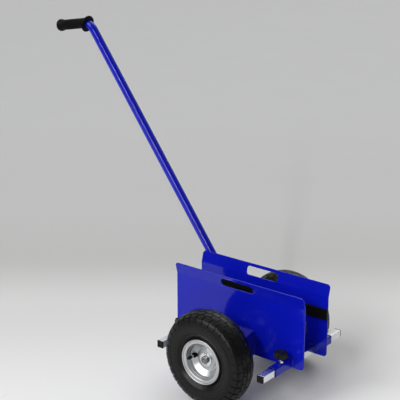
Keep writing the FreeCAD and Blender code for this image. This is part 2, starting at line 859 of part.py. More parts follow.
def carriage_pieces():
    """One side's plate, its fittings and its wheel, as built on the left."""
    return {
        "side_plate": side_plate(),
        "bar_sleeves": Part.makeCompound([sleeve(-bar_x), sleeve(bar_x)]),
        "clamp_nuts": Part.makeCompound([bar_clamp(-bar_x)[0], bar_clamp(bar_x)[0]]),
        "pad": pad(),
        "axle_bracket": axle_bracket(),
        "stub_axle": stub_axle(),
        "axle_washers": axle_washers(),
        "split_pin": split_pin(),
        "front_clamp_stud": bar_clamp(bar_x)[1],
        "front_clamp_knob": bar_clamp(bar_x)[2],
        "rear_clamp_stud": bar_clamp(-bar_x)[1],
        "rear_clamp_knob": bar_clamp(-bar_x)[2],
        "tyre": tyre(),
        "inner_tube": inner_tube(),
        "rim": rim(),
        "front_disc": front_disc(),
        "back_disc": back_disc(),
        "hub": hub(),
        "bearing_cages": bearing_cages(),
        "bearing_rollers": bearing_rollers(),
        "valve_stem": valve_stem(),
        "valve_cap": valve_cap(),
        "valve_grommet": valve_grommet(),
    }


def all_pieces():
    pieces = {}
    for name, shape in carriage_pieces().items():
        pieces["left_" + name] = shape
        pieces["right_" + name] = mirrored(shape)
    for name, x in (("front", bar_x), ("rear", -bar_x)):
        pieces[name + "_bar"] = cross_bar(x)
        pieces[name + "_bar_caps"] = end_caps(x)
    nut, screw, star = socket_clamp()
    pieces["socket_nut"] = nut
    pieces["socket_stud"] = screw
    pieces["socket_knob"] = star
    pieces["drawbar_socket"] = drawbar_socket()
    pieces["socket_lugs"] = socket_lugs()
    pieces["lower_drawbar"] = lower_drawbar()
    pieces["upper_drawbar"] = upper_drawbar()
    pieces["drawbar_spigot"] = spigot()
    pieces["seam_screws"] = seam_screws()
    pieces["grip"] = grip()
    return pieces


os.makedirs("parts", exist_ok=True)
for node, shape in all_pieces().items():
    shape.exportStep("parts/%s.step" % node)
    solids = shape.Solids
    print(node, len(solids), "valid" if shape.isValid() else "INVALID", round(sum(s.Volume for s in solids)))
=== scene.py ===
"""Door dolly: the visible pieces, built round the packed frame.

Two flared side plates slide on two square bars, each plate has a pneumatic wheel, and a drawbar with a
rubber grip stands in a socket on the left plate. Metres throughout, in the frame's axes. Left pieces are
built and mirrored to the right, apart from threads, which are right-handed on both sides.
"""

import json
import math

import bmesh
import bpy
from bpy.props import FloatProperty, FloatVectorProperty, IntProperty, PointerProperty
from bpy.types import Operator, Panel, PropertyGroup
from mathutils import Matrix, Vector


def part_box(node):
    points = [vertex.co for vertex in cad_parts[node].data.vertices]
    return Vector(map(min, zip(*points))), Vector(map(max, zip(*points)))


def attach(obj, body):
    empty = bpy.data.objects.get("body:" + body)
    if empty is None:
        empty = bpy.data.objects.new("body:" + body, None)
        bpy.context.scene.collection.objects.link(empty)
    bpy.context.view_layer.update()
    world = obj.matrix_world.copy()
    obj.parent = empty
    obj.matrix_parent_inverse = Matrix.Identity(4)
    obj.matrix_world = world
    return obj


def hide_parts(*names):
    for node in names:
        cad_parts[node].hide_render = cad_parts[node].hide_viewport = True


bl_info = {
    "name": "Door dolly",
    "version": (1, 0, 0),
    "blender": (4, 5, 0),
    "location": "3D View > Sidebar > Dolly",
    "description": "Builds the visible pieces of a door dolly round its packed frame",
    "category": "Object",
}

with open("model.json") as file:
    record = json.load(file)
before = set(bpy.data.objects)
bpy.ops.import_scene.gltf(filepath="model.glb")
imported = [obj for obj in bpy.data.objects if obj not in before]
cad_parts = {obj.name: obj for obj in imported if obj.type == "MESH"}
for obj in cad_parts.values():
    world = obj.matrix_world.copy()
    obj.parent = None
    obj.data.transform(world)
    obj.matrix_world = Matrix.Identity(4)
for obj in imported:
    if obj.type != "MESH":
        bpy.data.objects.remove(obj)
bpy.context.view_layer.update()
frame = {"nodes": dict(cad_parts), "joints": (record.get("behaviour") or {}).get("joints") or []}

# Places taken from the frame

UP = Vector((0, 0, 1))
OUT = Vector((0, 1, 0))
FORWARD = Vector((1, 0, 0))
PLATE_LOW, PLATE_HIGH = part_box("left_side_plate")
SLEEVE_LOW, SLEEVE_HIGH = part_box("left_bar_sleeves")
PAD_LOW, PAD_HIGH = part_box("left_pad")
BRACKET_LOW, BRACKET_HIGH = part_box("left_axle_bracket")
AXLE_LOW, AXLE_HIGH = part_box("left_stub_axle")
WASHER_LOW, WASHER_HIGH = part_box("left_axle_washers")
HUB_LOW, HUB_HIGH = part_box("left_hub")
TYRE_LOW, TYRE_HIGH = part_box("left_tyre")
BAR_LOW, BAR_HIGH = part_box("front_bar")
PLUG_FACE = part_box("front_bar_caps")[1].y
NUT_LOW, NUT_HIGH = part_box("left_clamp_nuts")
KNOB_LOW, KNOB_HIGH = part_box("left_front_clamp_knob")
STUD_LOW, STUD_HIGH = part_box("left_front_clamp_stud")
CAP_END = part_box("left_valve_cap")[1].y
DRAWBAR_LOW, DRAWBAR_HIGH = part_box("lower_drawbar")
SOCKET_NUT_LOW, SOCKET_NUT_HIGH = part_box("socket_nut")
SOCKET_STUD_LOW, SOCKET_STUD_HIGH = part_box("socket_stud")
SOCKET_KNOB_LOW, SOCKET_KNOB_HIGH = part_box("socket_knob")

INNER_FACE = PLATE_LOW.y
PLATE_FOOT = PLATE_LOW.z
BAR_X = (BAR_LOW.x + BAR_HIGH.x) / 2
BAR_Z = (BAR_LOW.z + BAR_HIGH.z) / 2
BAR_HALF = (BAR_HIGH.x - BAR_LOW.x) / 2
CLAMP_Y = (STUD_LOW.y + STUD_HIGH.y) / 2
WHEEL_MIDDLE = (TYRE_LOW + TYRE_HIGH) / 2
TYRE_RADIUS = (TYRE_HIGH.z - TYRE_LOW.z) / 2
TYRE_HALF = (TYRE_HIGH.y - TYRE_LOW.y) / 2
AXLE_Z = WHEEL_MIDDLE.z
DRAWBAR_Y = (DRAWBAR_LOW.y + DRAWBAR_HIGH.y) / 2
DRAWBAR_WAY = Vector(next(joint["axis"] for joint in frame["joints"] if joint["name"] == "drawbar_slide"))

AXLE_RADIUS = (AXLE_HIGH.x - AXLE_LOW.x) / 2
STUD_RADIUS = (STUD_HIGH.x - STUD_LOW.x) / 2
HUB_RADIUS = (HUB_HIGH.x - HUB_LOW.x) / 2
SLEEVE_HALF = (SLEEVE_HIGH.z - SLEEVE_LOW.z) / 2
SOCKET_NUT_MIDDLE = (SOCKET_NUT_LOW + SOCKET_NUT_HIGH) / 2

MERGE = 1e-6
SHARP_EDGE = math.radians(34)
TURN = 2 * math.pi
QUARTER = math.pi / 2

# Gaps and small sizes that several pieces share

FIT_GAP = 0.0002
BAR_HOLE_PLAY = 0.0005
AXLE_HOLE_PLAY = 0.0003
BRACKET_HOLE_RADIUS = 0.0103
NUT_BORE_RADIUS = 0.0041
RIM_WELL_DEPTH = 0.005
DISH_VALLEY = (0.0072, 0.0310)
DISH_EDGE = 0.0185
VALVE_STEM_RADIUS = 0.0030
LUG_HALF_SIZES = (0.012, 0.007)
LUG_FROM_END = 0.012
SOCKET_PLAY = 0.00015
GRIP_END_WALL = 0.006
BEAD_OFF_PLATE = 0.2


# Sizes and colours that a user would change

def length(name, description, default):
    return FloatProperty(name=name, description=description, default=default, unit="LENGTH", precision=4)


def degrees(name, description, default):
    return FloatProperty(name=name, description=description, default=math.radians(default), unit="ROTATION")


def number(name, description, default, least=8):
    return IntProperty(name=name, description=description, default=default, min=least)


def amount(name, description, default):
    return FloatProperty(name=name, description=description, default=default, min=0)


def direction(name, description, default):
    return FloatVectorProperty(name=name, description=description, default=default, subtype="DIRECTION")


def colour(name, description, default):
    return FloatVectorProperty(name=name, description=description, default=default, subtype="COLOR",
                               min=0, max=1)


class PlateSizes(PropertyGroup):
    """Side plates and the pieces on them."""
    sheet: length("Sheet", "Thickness of the side plates", 0.003)
    wall: length("Wall", "Height of the upright part, up to the bend", 0.171)
    flare: degrees("Flare", "Lean of the flared top", 15)
    flare_rise: length("Flare rise", "Height of the flared top above the bend", 0.0325)
    bend_radius: length("Bend radius", "Radius of the bend on the inner face", 0.007)
    corner: length("Corner", "Radius of the plates' corners", 0.010)
    slot_length: length("Slot length", "Length of the hand slot", 0.104)
    slot_height: length("Slot height", "Height of the hand slot", 0.024)
    slot_corner: length("Slot corner", "Radius of the slot's corners", 0.008)
    slot_rise: length("Slot rise", "Slot's lower edge above the bend", 0.001)
    slot_setback: length("Slot setback", "Slot behind the plate's middle", 0.003)
    bracket_sheet: length("Bracket sheet", "Thickness of the axle bracket", 0.003)
    bracket_fold: length("Bracket fold", "Radius of the bracket's folds", 0.005)
    bracket_fall: length("Bracket fall", "Drop of the bracket's top towards the wheel", 0.0115)
    pad_groove: length("Pad groove", "Width of the rubber strips' grooves", 0.0015)
    weld: length("Weld", "Radius of the weld beads", 0.0014)


class ClampSizes(PropertyGroup):
    """Bars, sleeves and clamp screws."""
    bar_corner: length("Bar corner", "Radius of the bars' corners", 0.002)
    bar_wall: length("Bar wall", "Wall of the square bars", 0.002)
    sleeve_wall: length("Sleeve wall", "Wall of the square sleeves", 0.002)
    knob_diameter: length("Knob", "Diameter over the knob's lobes", 0.037)
    flute_diameter: length("Flute", "Diameter of the flutes between lobes", 0.015)
    flute_depth: length("Flute depth", "Depth of the flutes", 0.0030)
    lobes: number("Lobes", "Number of lobes on a knob", 6, 3)
    lobe_turn: degrees("Lobe turn", "Direction of one lobe", 56)
    nut_flats: length("Nut", "Across the nut's flats", 0.013)
    thread_pitch: length("Thread pitch", "Pitch of the clamp screws", 0.00125)


class WheelSizes(PropertyGroup):
    """Tyres, rims, hubs and valves."""
    pitches: number("Tread pitches", "Shoulder blocks round a tyre", 34)
    groove: length("Groove", "Depth of the tread's grooves", 0.0026)
    shoulder: length("Shoulder", "Shoulder's distance from the middle plane", 0.034)
    shoulder_drop: length("Shoulder drop", "Shoulder below the crown", 0.011)
    seat: length("Seat", "Radius where the tyre's beads sit", 0.051)
    flange: length("Flange", "Flange's inner face from the middle plane", 0.0335)
    lip: length("Lip", "Radius over the rim's rolled lips", 0.062)
    rim_sheet: length("Rim sheet", "Thickness of the rim", 0.002)
    disc_sheet: length("Disc sheet", "Thickness of the pressed discs", 0.0025)
    valve_radius: length("Valve radius", "Valve's distance from the axle", 0.038)
    valve_turn: degrees("Valve turn", "Valve round the axle, from the front upwards", 178)


class DrawbarSizes(PropertyGroup):
    """Drawbar, its socket and its grip."""
    diameter: length("Tube", "Diameter of the drawbar", 0.025)
    wall: length("Wall", "Wall of the drawbar", 0.0015)
    lower: length("Lower length", "Lower tube's length", 0.440)
    upper: length("Upper length", "Upper tube's length up to its corner", 0.467)
    bend: length("Bend", "Radius of the upper tube's bend", 0.044)
    seam: length("Seam", "Length of the sloping edges where the tubes meet", 0.0016)
    grip_drop: degrees("Grip drop", "Slope of the grip", 9)
    grip_start: length("Grip start", "Grip's start from the corner", 0.00755)
    grip_reach: length("Grip reach", "Grip's end from the corner", 0.128)
    grip_diameter: length("Grip", "Diameter of the grip's body", 0.030)
    grip_ribs: number("Grip ribs", "Ribs round the grip", 36)
    socket_length: length("Socket", "Length of the socket", 0.112)
    socket_floor: length("Socket floor", "Thickness of the socket's floor", 0.004)
    socket_wall: length("Socket wall", "Wall of the socket with its play", 0.00315)
    screw_from_seam: length("Screw place", "Screws' distance from the seam", 0.030)


class Finishes(PropertyGroup):
    """Colours of the finishes."""
    blue_paint: colour("Blue paint", "Powder coat", (0.003, 0.008, 0.43))
    bright_zinc: colour("Bright zinc", "Plated bars, nuts and screws", (0.76, 0.78, 0.80))
    rim_steel: colour("Rim steel", "Pressed wheel sheet", (0.56, 0.57, 0.58))
    axle_steel: colour("Axle steel", "Drawn steel of the axles", (0.24, 0.24, 0.245))
    tyre_rubber: colour("Tyre rubber", "Tyres", (0.0036, 0.0040, 0.0034))
    rubber: colour("Rubber", "Strips, grip and grommets", (0.0022, 0.0024, 0.0020))
    black_plastic: colour("Black plastic", "Knobs, plugs and valve caps", (0.0030, 0.0031, 0.0029))
    nylon: colour("Nylon", "Bearing cages", (0.70, 0.67, 0.58))
    valve_metal: colour("Valve metal", "Nickel-plated valve stems", (0.74, 0.71, 0.64))
    # The three floor tones hold painted light: the floor is painted pale in front, a band of painted shade
    # lies behind the dolly and the far floor is painted dimmer.
    floor: colour("Floor", "Studio floor in front of the dolly", (0.885, 0.885, 0.88))
    floor_painted_shade_band: colour("Floor band", "Dull band behind the dolly", (0.54, 0.54, 0.535))
    floor_far_painted_dimness: colour("Far floor", "Studio floor away from the dolly", (0.585, 0.59, 0.588))


class StudioSettings(PropertyGroup):
    """Camera and light."""
    azimuth: degrees("Azimuth", "Camera's direction round the dolly", 38.80)
    elevation: degrees("Elevation", "Camera's height above the horizon", 17.64)
    distance: length("Distance", "Camera from its target", 2.904)
    lens: FloatProperty(name="Lens", description="Focal length, millimetres", default=99.6, min=1)
    target: FloatVectorProperty(name="Target", description="Point in the middle of the picture",
                                default=(-0.1067, -0.0855, 0.5169), subtype="XYZ", unit="LENGTH")
    lamp: amount("Lamp", "Strength of the large lamp", 1.58)
    lamp_spread: degrees("Lamp spread", "Apparent size of the large lamp", 40)
    lamp_way: direction("Lamp way", "Direction in which the large lamp shines", (0.50, 1.0, -0.98))
    back_lamp: amount("Back lamp", "Strength of the lamp behind", 0.55)
    back_spread: degrees("Back lamp spread", "Apparent size of the lamp behind", 40)
    back_way: direction("Back lamp way", "Direction in which the lamp behind shines", (0.30, -1.0, -1.1))
    strip_lamp: amount("Strip lamp", "Power of the strip lamp, watts", 180)
    strip_width: length("Strip width", "Width of the strip lamp", 0.36)
    strip_length: length("Strip length", "Length of the strip lamp", 3.0)
    strip_distance: length("Strip distance", "Strip lamp from the dolly", 8)
    strip_turn: degrees("Strip turn", "Lean of the strip lamp", 37)
    strip_way: direction("Strip way", "Direction in which the strip lamp shines", (-0.19, 0.861, -0.472))
    bright: amount("Bright side", "Light from behind the dolly", 0.70)
    dark: amount("Dark side", "Light from the other sides", 0.06)
    bright_way: direction("Bright way", "Direction of the bright side", (-0.45, 0.62, 0.64))


GROUPS = {
    "dolly_plates": PlateSizes,
    "dolly_clamps": ClampSizes,
    "dolly_wheels": WheelSizes,
    "dolly_drawbar": DrawbarSizes,
    "dolly_finishes": Finishes,
    "dolly_studio": StudioSettings,
}


# Outlines

def turned_point(point, angle):
    """A flat point turned about the origin."""
    return Matrix.Rotation(angle, 2) @ point


def rounded(corners, closed=True, steps=4):
    """An outline through (x, y, radius) corners, each rounded by its radius or as far as its sides allow."""
    points = []
    last = len(corners) - 1
    for index, (x, y, radius) in enumerate(corners):
        here = Vector((x, y))
        if radius <= 0 or (not closed and index in (0, last)):
            points.append(here)
            continue
        before = Vector(corners[index - 1][:2]) - here
        after = Vector(corners[(index + 1) % len(corners)][:2]) - here
        half = before.angle(after) / 2
        room = 0.499 * min(before.length, after.length)
        cut = min(radius / math.tan(half), room)
        start = here + before.normalized() * cut
        inward = (before.normalized() + after.normalized()).normalized()
        centre = here + inward * (cut / math.cos(half))
        sweep = math.pi - 2 * half
        if before.cross(after) > 0:
            sweep = -sweep
        for step in range(steps + 1):
            points.append(centre + turned_point(start - centre, sweep * step / steps))
    return points


def arc(start, middle, end, steps):
    """Points on the circle through three points, from the first to the last."""
    start, middle, end = Vector(start), Vector(middle), Vector(end)
    a = middle - start
    b = end - start
    scale = 0.5 / a.cross(b)
    offset = Vector((b.y * a.length_squared - a.y * b.length_squared,
                     a.x * b.length_squared - b.x * a.length_squared)) * scale
    centre = start + offset
    sweep = -(start - centre).angle_signed(end - centre)
    return [centre + turned_point(start - centre, sweep * step / steps) for step in range(steps + 1)]


def soft_edge(edge, steps=3):
    """(inset, depth) pairs round a quarter circle, from the face to the side."""
    pairs = []
    for step in range(steps + 1):
        angle = QUARTER * step / steps
        pairs.append((edge * (1 - math.sin(angle)), edge * (1 - math.cos(angle))))
    return pairs


def spokes(steps):
    """Unit directions at even angles round a circle."""
    angles = [TURN * step / steps for step in range(steps)]
    return [Vector((math.cos(angle), math.sin(angle))) for angle in angles]


def box_outline(half_x, half_z, corner, steps=5):
    """A rounded rectangle about the origin."""
    signs = ((1, 1), (-1, 1), (-1, -1), (1, -1))
    return rounded([(a * half_x, b * half_z, corner) for a, b in signs], steps=steps)


# Meshes

def skin(bm, loops, joined=False, capped=True):
    """Joins loops of points with quads. Joined loops meet end to start, others are capped."""
    rows = [[bm.verts.new(point) for point in loop] for loop in loops]
    count = len(loops[0])
    pairs = list(zip(rows, rows[1:]))
    if joined:
        pairs.append((rows[-1], rows[0]))
    for low, high in pairs:
        for step in range(count):
            after = (step + 1) % count
            bm.faces.new((low[step], low[after], high[after], high[step]))
    if capped and not joined:
        bm.faces.new(rows[0])
        bm.faces.new(rows[-1])
    return rows


def turned(bm, origin, way, profile, steps=64, joined=False, start=None):
    """Turns (along, radius) points about a line. A radius may be a function of the angle."""
    way = way.normalized()
    side = (start or way.orthogonal()).normalized()
    other = way.cross(side)
    loops = []
    for along, radius in profile:
        loop = []
        for step in range(steps):
            angle = TURN * step / steps
            reach = radius(angle) if callable(radius) else radius
            spoke = side * math.cos(angle) + other * math.sin(angle)
            loop.append(origin + way * along + spoke * reach)
        loops.append(loop)
    return skin(bm, loops, joined=joined)


def swept_loops(points, radius, normal, sides=12, closed=False):
    """Circles along a flat path whose plane has the given normal."""
    loops = []
    last = len(points) - 1
    for index, point in enumerate(points):
        if closed:
            before, after = points[index - 1], points[(index + 1) % len(points)]
        else:
            before, after = points[max(index - 1, 0)], points[min(index + 1, last)]
        side = (after - before).normalized().cross(normal)
        reach = radius(index) if callable(radius) else radius
        loop = []
        for step in range(sides):
            angle = TURN * step / sides
            loop.append(point + (normal * math.cos(angle) + side * math.sin(angle)) * reach)
        loops.append(loop)
    return loops


def spaced(points, gap, closed=False):
    """The same path with points at an even gap."""
    path = points + [points[0]] if closed else points
    marks = [0.0]
    for before, after in zip(path, path[1:]):
        marks.append(marks[-1] + (after - before).length)
    count = max(2, round(marks[-1] / gap))
    result = []
    index = 0
    for step in range(count if closed else count + 1):
        mark = marks[-1] * step / count
        while index < len(path) - 2 and marks[index + 1] < mark:
            index += 1
        run = max(marks[index + 1] - marks[index], MERGE)
        result.append(path[index].lerp(path[index + 1], min((mark - marks[index]) / run, 1)))
    return result


def weld_bead(bm, points, radius, normal, closed=False):
    """A rippled bead along a flat path."""
    gap = radius * 0.3
    path = spaced(points, gap, closed)
    last = len(path) - 1

    def ripple(index):
        wave = abs(math.sin(index * 0.62 + 0.4 * math.sin(index * 0.23)))
        ends = 1.0 if closed else min(1.0, 0.35 + 0.15 * min(index, last - index))
        return radius * (0.86 + 0.16 * wave) * ends

    skin(bm, swept_loops(path, ripple, normal, 10, closed), joined=closed)


def square_loop(x, y, z, half, corner):
    """A rounded square across Y."""
    return [Vector((x + u, y, z + v)) for u, v in box_outline(half, half, corner)]


def square_tube(bm, x, z, start, end, half, corner, bore, edge=0.0004, mouth=0.0):
    """A square tube along Y with softened ends. A mouth widens its far end."""
    steps = soft_edge(edge)
    lip = soft_edge(edge / 2) if mouth else steps
    inside = max(corner - (half - bore), edge * 2)
    levels = [(start + depth, half - inset, corner - inset) for inset, depth in steps]
    levels += [(end - depth, half - inset, corner - inset) for inset, depth in reversed(steps)]
    levels += [(end - depth, bore + mouth + inset, inside + mouth + inset) for inset, depth in lip]
    if mouth:
        levels.append((end - 0.0024, bore + mouth * 0.8, inside + mouth))
        levels.append((end - 0.0044, bore, inside))
    levels += [(start + depth, bore + inset, inside + inset) for inset, depth in reversed(steps)]
    skin(bm, [square_loop(x, y, z, size, radius) for y, size, radius in levels], joined=True)


def rectangle(x, z, half_x, half_z, corner):
    """A rounded rectangle that can be drawn in by an inset."""
    def points(inset):
        outline = box_outline(half_x - inset, half_z - inset, corner - inset, 7)
        return [Vector((x + u, z + v)) for u, v in outline]
    return points


def circle(x, z, radius):
    """A circle that can be drawn in by an inset."""
    def points(inset):
        reach = radius - inset
        return [Vector((x, z)) + reach * spoke for spoke in spokes(48)]
    return points


def sheet(bm, outline, holes, thickness, edge=0.0008):
    """A flat sheet in XZ, thick along Y, with softened edges on its outline and round its holes."""
    faces = ([], [])
    for contour, sign in [(outline, 1)] + [(hole, -1) for hole in holes]:
        steps = soft_edge(edge)
        levels = steps + [(inset, thickness - depth) for inset, depth in reversed(steps)]
        loops = []
        for inset, depth in levels:
            loops.append([Vector((u, depth, v)) for u, v in contour(sign * inset)])
        rows = skin(bm, loops, capped=False)
        for face, row in zip(faces, (rows[0], rows[-1])):
            for here, after in zip(row, row[1:] + row[:1]):
                face.append(bm.edges.get((here, after)))
    for face in faces:
        bmesh.ops.triangle_fill(bm, use_beauty=True, use_dissolve=False, edges=face)


def hexagon(flats):
    """Radius of a hexagon at any angle, from its size across the flats."""
    def radius(angle):
        return flats / 2 / math.cos((angle % (TURN / 6)) - TURN / 12)
    return radius


def limited(radius, limit):
    """The same radius at any angle, but never above the limit."""
    return lambda angle: min(radius(angle), limit)


def add_piece(name, bm, slot, body, *nodes):
    """Makes one piece from a mesh. It rides on a body and stands for the CAD nodes named."""
    bmesh.ops.remove_doubles(bm, verts=bm.verts, dist=MERGE)
    bmesh.ops.recalc_face_normals(bm, faces=bm.faces)
    mesh = bpy.data.meshes.new(name)
    bm.to_mesh(mesh)
    bm.free()
    mesh.shade_smooth()
    mesh.set_sharp_from_angle(angle=SHARP_EDGE)
    item = bpy.data.objects.new(name, mesh)
    bpy.context.scene.collection.objects.link(item)
    mesh.materials.append(finish(slot))
    even = item.modifiers.new("even_shading", "WEIGHTED_NORMAL")
    even.keep_sharp = True
    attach(item, body)
    if nodes:
        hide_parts(*nodes)
    return item


def add_pair(name, bm, slot, body, *nodes):
    """Adds the left piece as built and its mirror image on the right."""
    other = bm.copy()
    bmesh.ops.scale(other, vec=(1, -1, 1), verts=other.verts)
    bmesh.ops.reverse_faces(other, faces=other.faces)
    left = add_piece("left_" + name, bm, slot, "left_" + body, *["left_" + node for node in nodes])
    right = add_piece("right_" + name, other, slot, "right_" + body, *["right_" + node for node in nodes])
    return left, right


def add_wheel_pair(name, section, slot, node, steps=128):
    """Turns a closed (offset, radius) section about the axle and adds it to both wheels."""
    bm = bmesh.new()
    turned(bm, WHEEL_MIDDLE, OUT, section, steps, True, FORWARD)
    return add_pair(name, bm, slot, "wheel", node)


# Finishes

class Surface:
    """A node material that is put together step by step, in the frame's coordinates."""

    def __init__(self, name):
        self.material = bpy.data.materials.new(name)
        self.material.use_nodes = True
        self.nodes = self.material.node_tree.nodes
        self.links = self.material.node_tree.links
        self.shader = self.nodes["Principled BSDF"]
        self.place = self.nodes.new("ShaderNodeTexCoord").outputs["Object"]

    def moved(self, offset=(0, 0, 0), scale=(1, 1, 1)):
        """The coordinates, shifted and stretched."""
        node = self.nodes.new("ShaderNodeMapping")
        node.inputs["Location"].default_value = offset
        node.inputs["Scale"].default_value = scale
        self.links.new(self.place, node.inputs["Vector"])
        return node.outputs["Vector"]

    def noise(self, scale, detail=3.0, roughness=0.55, stretch=(1, 1, 1)):
        """An uneven pattern, which may be stretched."""
        node = self.nodes.new("ShaderNodeTexNoise")
        node.inputs["Scale"].default_value = scale
        node.inputs["Detail"].default_value = detail
        node.inputs["Roughness"].default_value = roughness
        self.links.new(self.moved(scale=stretch), node.inputs["Vector"])
        return node.outputs["Fac"]

    def rings(self, scale):
        """Fine rings about the axle, as a lathe or a press leaves them."""
        node = self.nodes.new("ShaderNodeTexWave")
        node.wave_type = "RINGS"
        node.rings_direction = "Y"
        node.inputs["Scale"].default_value = scale
        node.inputs["Distortion"].default_value = 0.6
        self.links.new(self.moved(offset=(0, 0, -AXLE_Z)), node.inputs["Vector"])
        return node.outputs["Fac"]

    def spread(self, value, low, high, start=0.3, end=0.7):
        """Maps a pattern to numbers between low and high."""
        node = self.nodes.new("ShaderNodeMapRange")
        node.inputs["From Min"].default_value = start
        node.inputs["From Max"].default_value = end
        node.inputs["To Min"].default_value = low
        node.inputs["To Max"].default_value = high
        self.links.new(value, node.inputs["Value"])
        return node.outputs["Result"]

    def tones(self, value, first, second, start=0.3, end=0.7):
        """Maps a pattern to colours between first and second."""
        node = self.nodes.new("ShaderNodeValToRGB")
        node.color_ramp.elements[0].position = start
        node.color_ramp.elements[0].color = (*first, 1)
        node.color_ramp.elements[1].position = end
        node.color_ramp.elements[1].color = (*second, 1)
        self.links.new(value, node.inputs["Fac"])
        return node.outputs["Color"]

    def cloudy(self, pattern, tone, dark, light):
        """Colour that a pattern takes from a darker to a lighter shade of a tone."""
        self.set(Base_Color=self.tones(pattern, shade(tone, dark), shade(tone, light)))

    def satin(self, pattern, smooth, rough):
        """Roughness that a pattern takes from smooth to rough."""
        self.set(Roughness=self.spread(pattern, smooth, rough))

    def grain(self, pattern, depth):
        """A bump of the given depth."""
        node = self.nodes.new("ShaderNodeBump")
        node.inputs["Strength"].default_value = 1.0
        node.inputs["Distance"].default_value = depth
        self.links.new(pattern, node.inputs["Height"])
        self.set(Normal=node.outputs["Normal"])

    def set(self, **values):
        """Gives the shader's inputs a value or the output of another node."""
        for name, value in values.items():
            socket = self.shader.inputs[name.replace("_", " ")]
            if isinstance(value, bpy.types.NodeSocket):
                self.links.new(value, socket)
            else:
                socket.default_value = value


def shade(tone, factor):
    """A darker or lighter tone."""
    return [min(1.0, part * factor) for part in tone]


def halfway(first, second):
    """The tone between two tones."""
    return [(a + b) / 2 for a, b in zip(first, second)]


def paint_surface(surface, tone):
    """Glossy powder coat with a faint orange peel."""
    surface.cloudy(surface.noise(9, 4), tone, 0.93, 1.05)
    surface.satin(surface.noise(60, 3), 0.08, 0.13)
    surface.grain(surface.noise(420, 2), 0.00003)
    surface.set(IOR=1.40)


def plated_surface(surface, tone):
    """Bright plate with streaks along the tube."""
    streaks = surface.noise(240, 4, 0.6, (1, 0.03, 1))
    surface.cloudy(surface.noise(34, 4), tone, 0.86, 1.04)
    surface.satin(streaks, 0.10, 0.18)
    surface.grain(streaks, 0.000004)
    surface.set(Metallic=1.0)


def rim_surface(surface, tone):
    """Plated sheet with clouds and faint press rings."""
    surface.cloudy(surface.noise(46, 5, 0.62), tone, 0.94, 1.02)
    surface.satin(surface.noise(30, 3), 0.36, 0.42)
    surface.grain(surface.rings(120), 0.000003)
    surface.set(Metallic=1.0)


def axle_surface(surface, tone):
    """Drawn steel with turning marks and a little oil."""
    surface.cloudy(surface.noise(70, 4), tone, 0.7, 1.1)
    surface.satin(surface.noise(130, 3), 0.28, 0.46)
    surface.grain(surface.rings(320), 0.00003)
    surface.set(Metallic=1.0)


def tyre_surface(surface, tone):
    """Satin rubber with a dusty bloom and a fine grain."""
    surface.cloudy(surface.noise(22, 5, 0.6), tone, 0.85, 1.25)
    surface.satin(surface.noise(55, 4), 0.31, 0.43)
    surface.grain(surface.noise(900, 2), 0.00006)
    surface.set(Specular_IOR_Level=0.24)


def moulded_surface(surface, tone):
    """Black rubber as it leaves its mould."""
    surface.cloudy(surface.noise(40, 4), tone, 0.8, 1.3)
    surface.satin(surface.noise(120, 3), 0.46, 0.60)
    surface.grain(surface.noise(1100, 2), 0.00004)
    surface.set(Specular_IOR_Level=0.10)


def plastic_surface(surface, tone):
    """Moulded plastic with an eroded grain."""
    surface.cloudy(surface.noise(50, 3), tone, 0.85, 1.2)
    surface.satin(surface.noise(160, 3), 0.36, 0.50)
    surface.grain(surface.noise(1400, 2), 0.00005)
    surface.set(Specular_IOR_Level=0.2)


def painted_light_floor_surface(surface, near, band, far, away):
    """Matt studio floor whose colour holds painted light and shade: painted pale in front, a band of painted
    shade behind the dolly and a paler distance, painted dimmer than the front.
    """
    distance = surface.nodes.new("ShaderNodeVectorMath")
    distance.operation = "DOT_PRODUCT"
    distance.inputs[1].default_value = away
    surface.links.new(surface.place, distance.inputs[0])
    # The colour changes with distance away from the camera. This paints the studio's fall of light and a
    # band of shade behind the dolly.
    share = surface.spread(distance.outputs["Value"], 0, 1, -0.2, 3.8)
    tones = surface.tones(share, near, far, 0.0, 0.9)
    ramp = tones.node.color_ramp
    ramp.interpolation = "EASE"
    # The band of painted shade, with tones halfway to it on both sides.
    for place, tone in ((0.17, halfway(near, band)), (0.29, band), (0.45, halfway(band, far))):
        ramp.elements.new(place).color = (*tone, 1)
    surface.set(Base_Color=tones, IOR=1.3)
    surface.satin(surface.noise(3, 2), 0.60, 0.70)


SURFACES = {
    "blue_paint": paint_surface,
    "bright_zinc": plated_surface,
    "rim_steel": rim_surface,
    "axle_steel": axle_surface,
    "tyre_rubber": tyre_surface,
    "rubber": moulded_surface,
    "black_plastic": plastic_surface,
    "nylon": plastic_surface,
    "valve_metal": plated_surface,
}
made_finishes = {}


def finish(slot):
    """The material for one of the record's slots, made once."""
    if slot not in made_finishes:
        surface = Surface(slot)
        SURFACES[slot](surface, getattr(bpy.context.scene.dolly_finishes, slot))
        made_finishes[slot] = surface.material
    return made_finishes[slot]


# Side plates and what is welded to them

def bend_lines(sizes):
    """Where the bend starts and ends on the flat sheet, above its foot."""
    start = sizes.wall - sizes.bend_radius * math.tan(sizes.flare / 2)
    return start, start + sizes.bend_radius * sizes.flare


def bent(point, sizes):
    """Takes a point of the flat sheet to its place on the bent plate."""
    start, end = bend_lines(sizes)
    inside = sizes.bend_radius - point.y
    angle = min(max((point.z - start) / sizes.bend_radius, 0), sizes.flare)
    run = max(point.z - end, 0) if point.z > start else point.z - start
    out = sizes.bend_radius - inside * math.cos(angle) + run * math.sin(angle)
    rise = start + inside * math.sin(angle) + run * math.cos(angle)
    return Vector((point.x, INNER_FACE + out, PLATE_FOOT + rise))


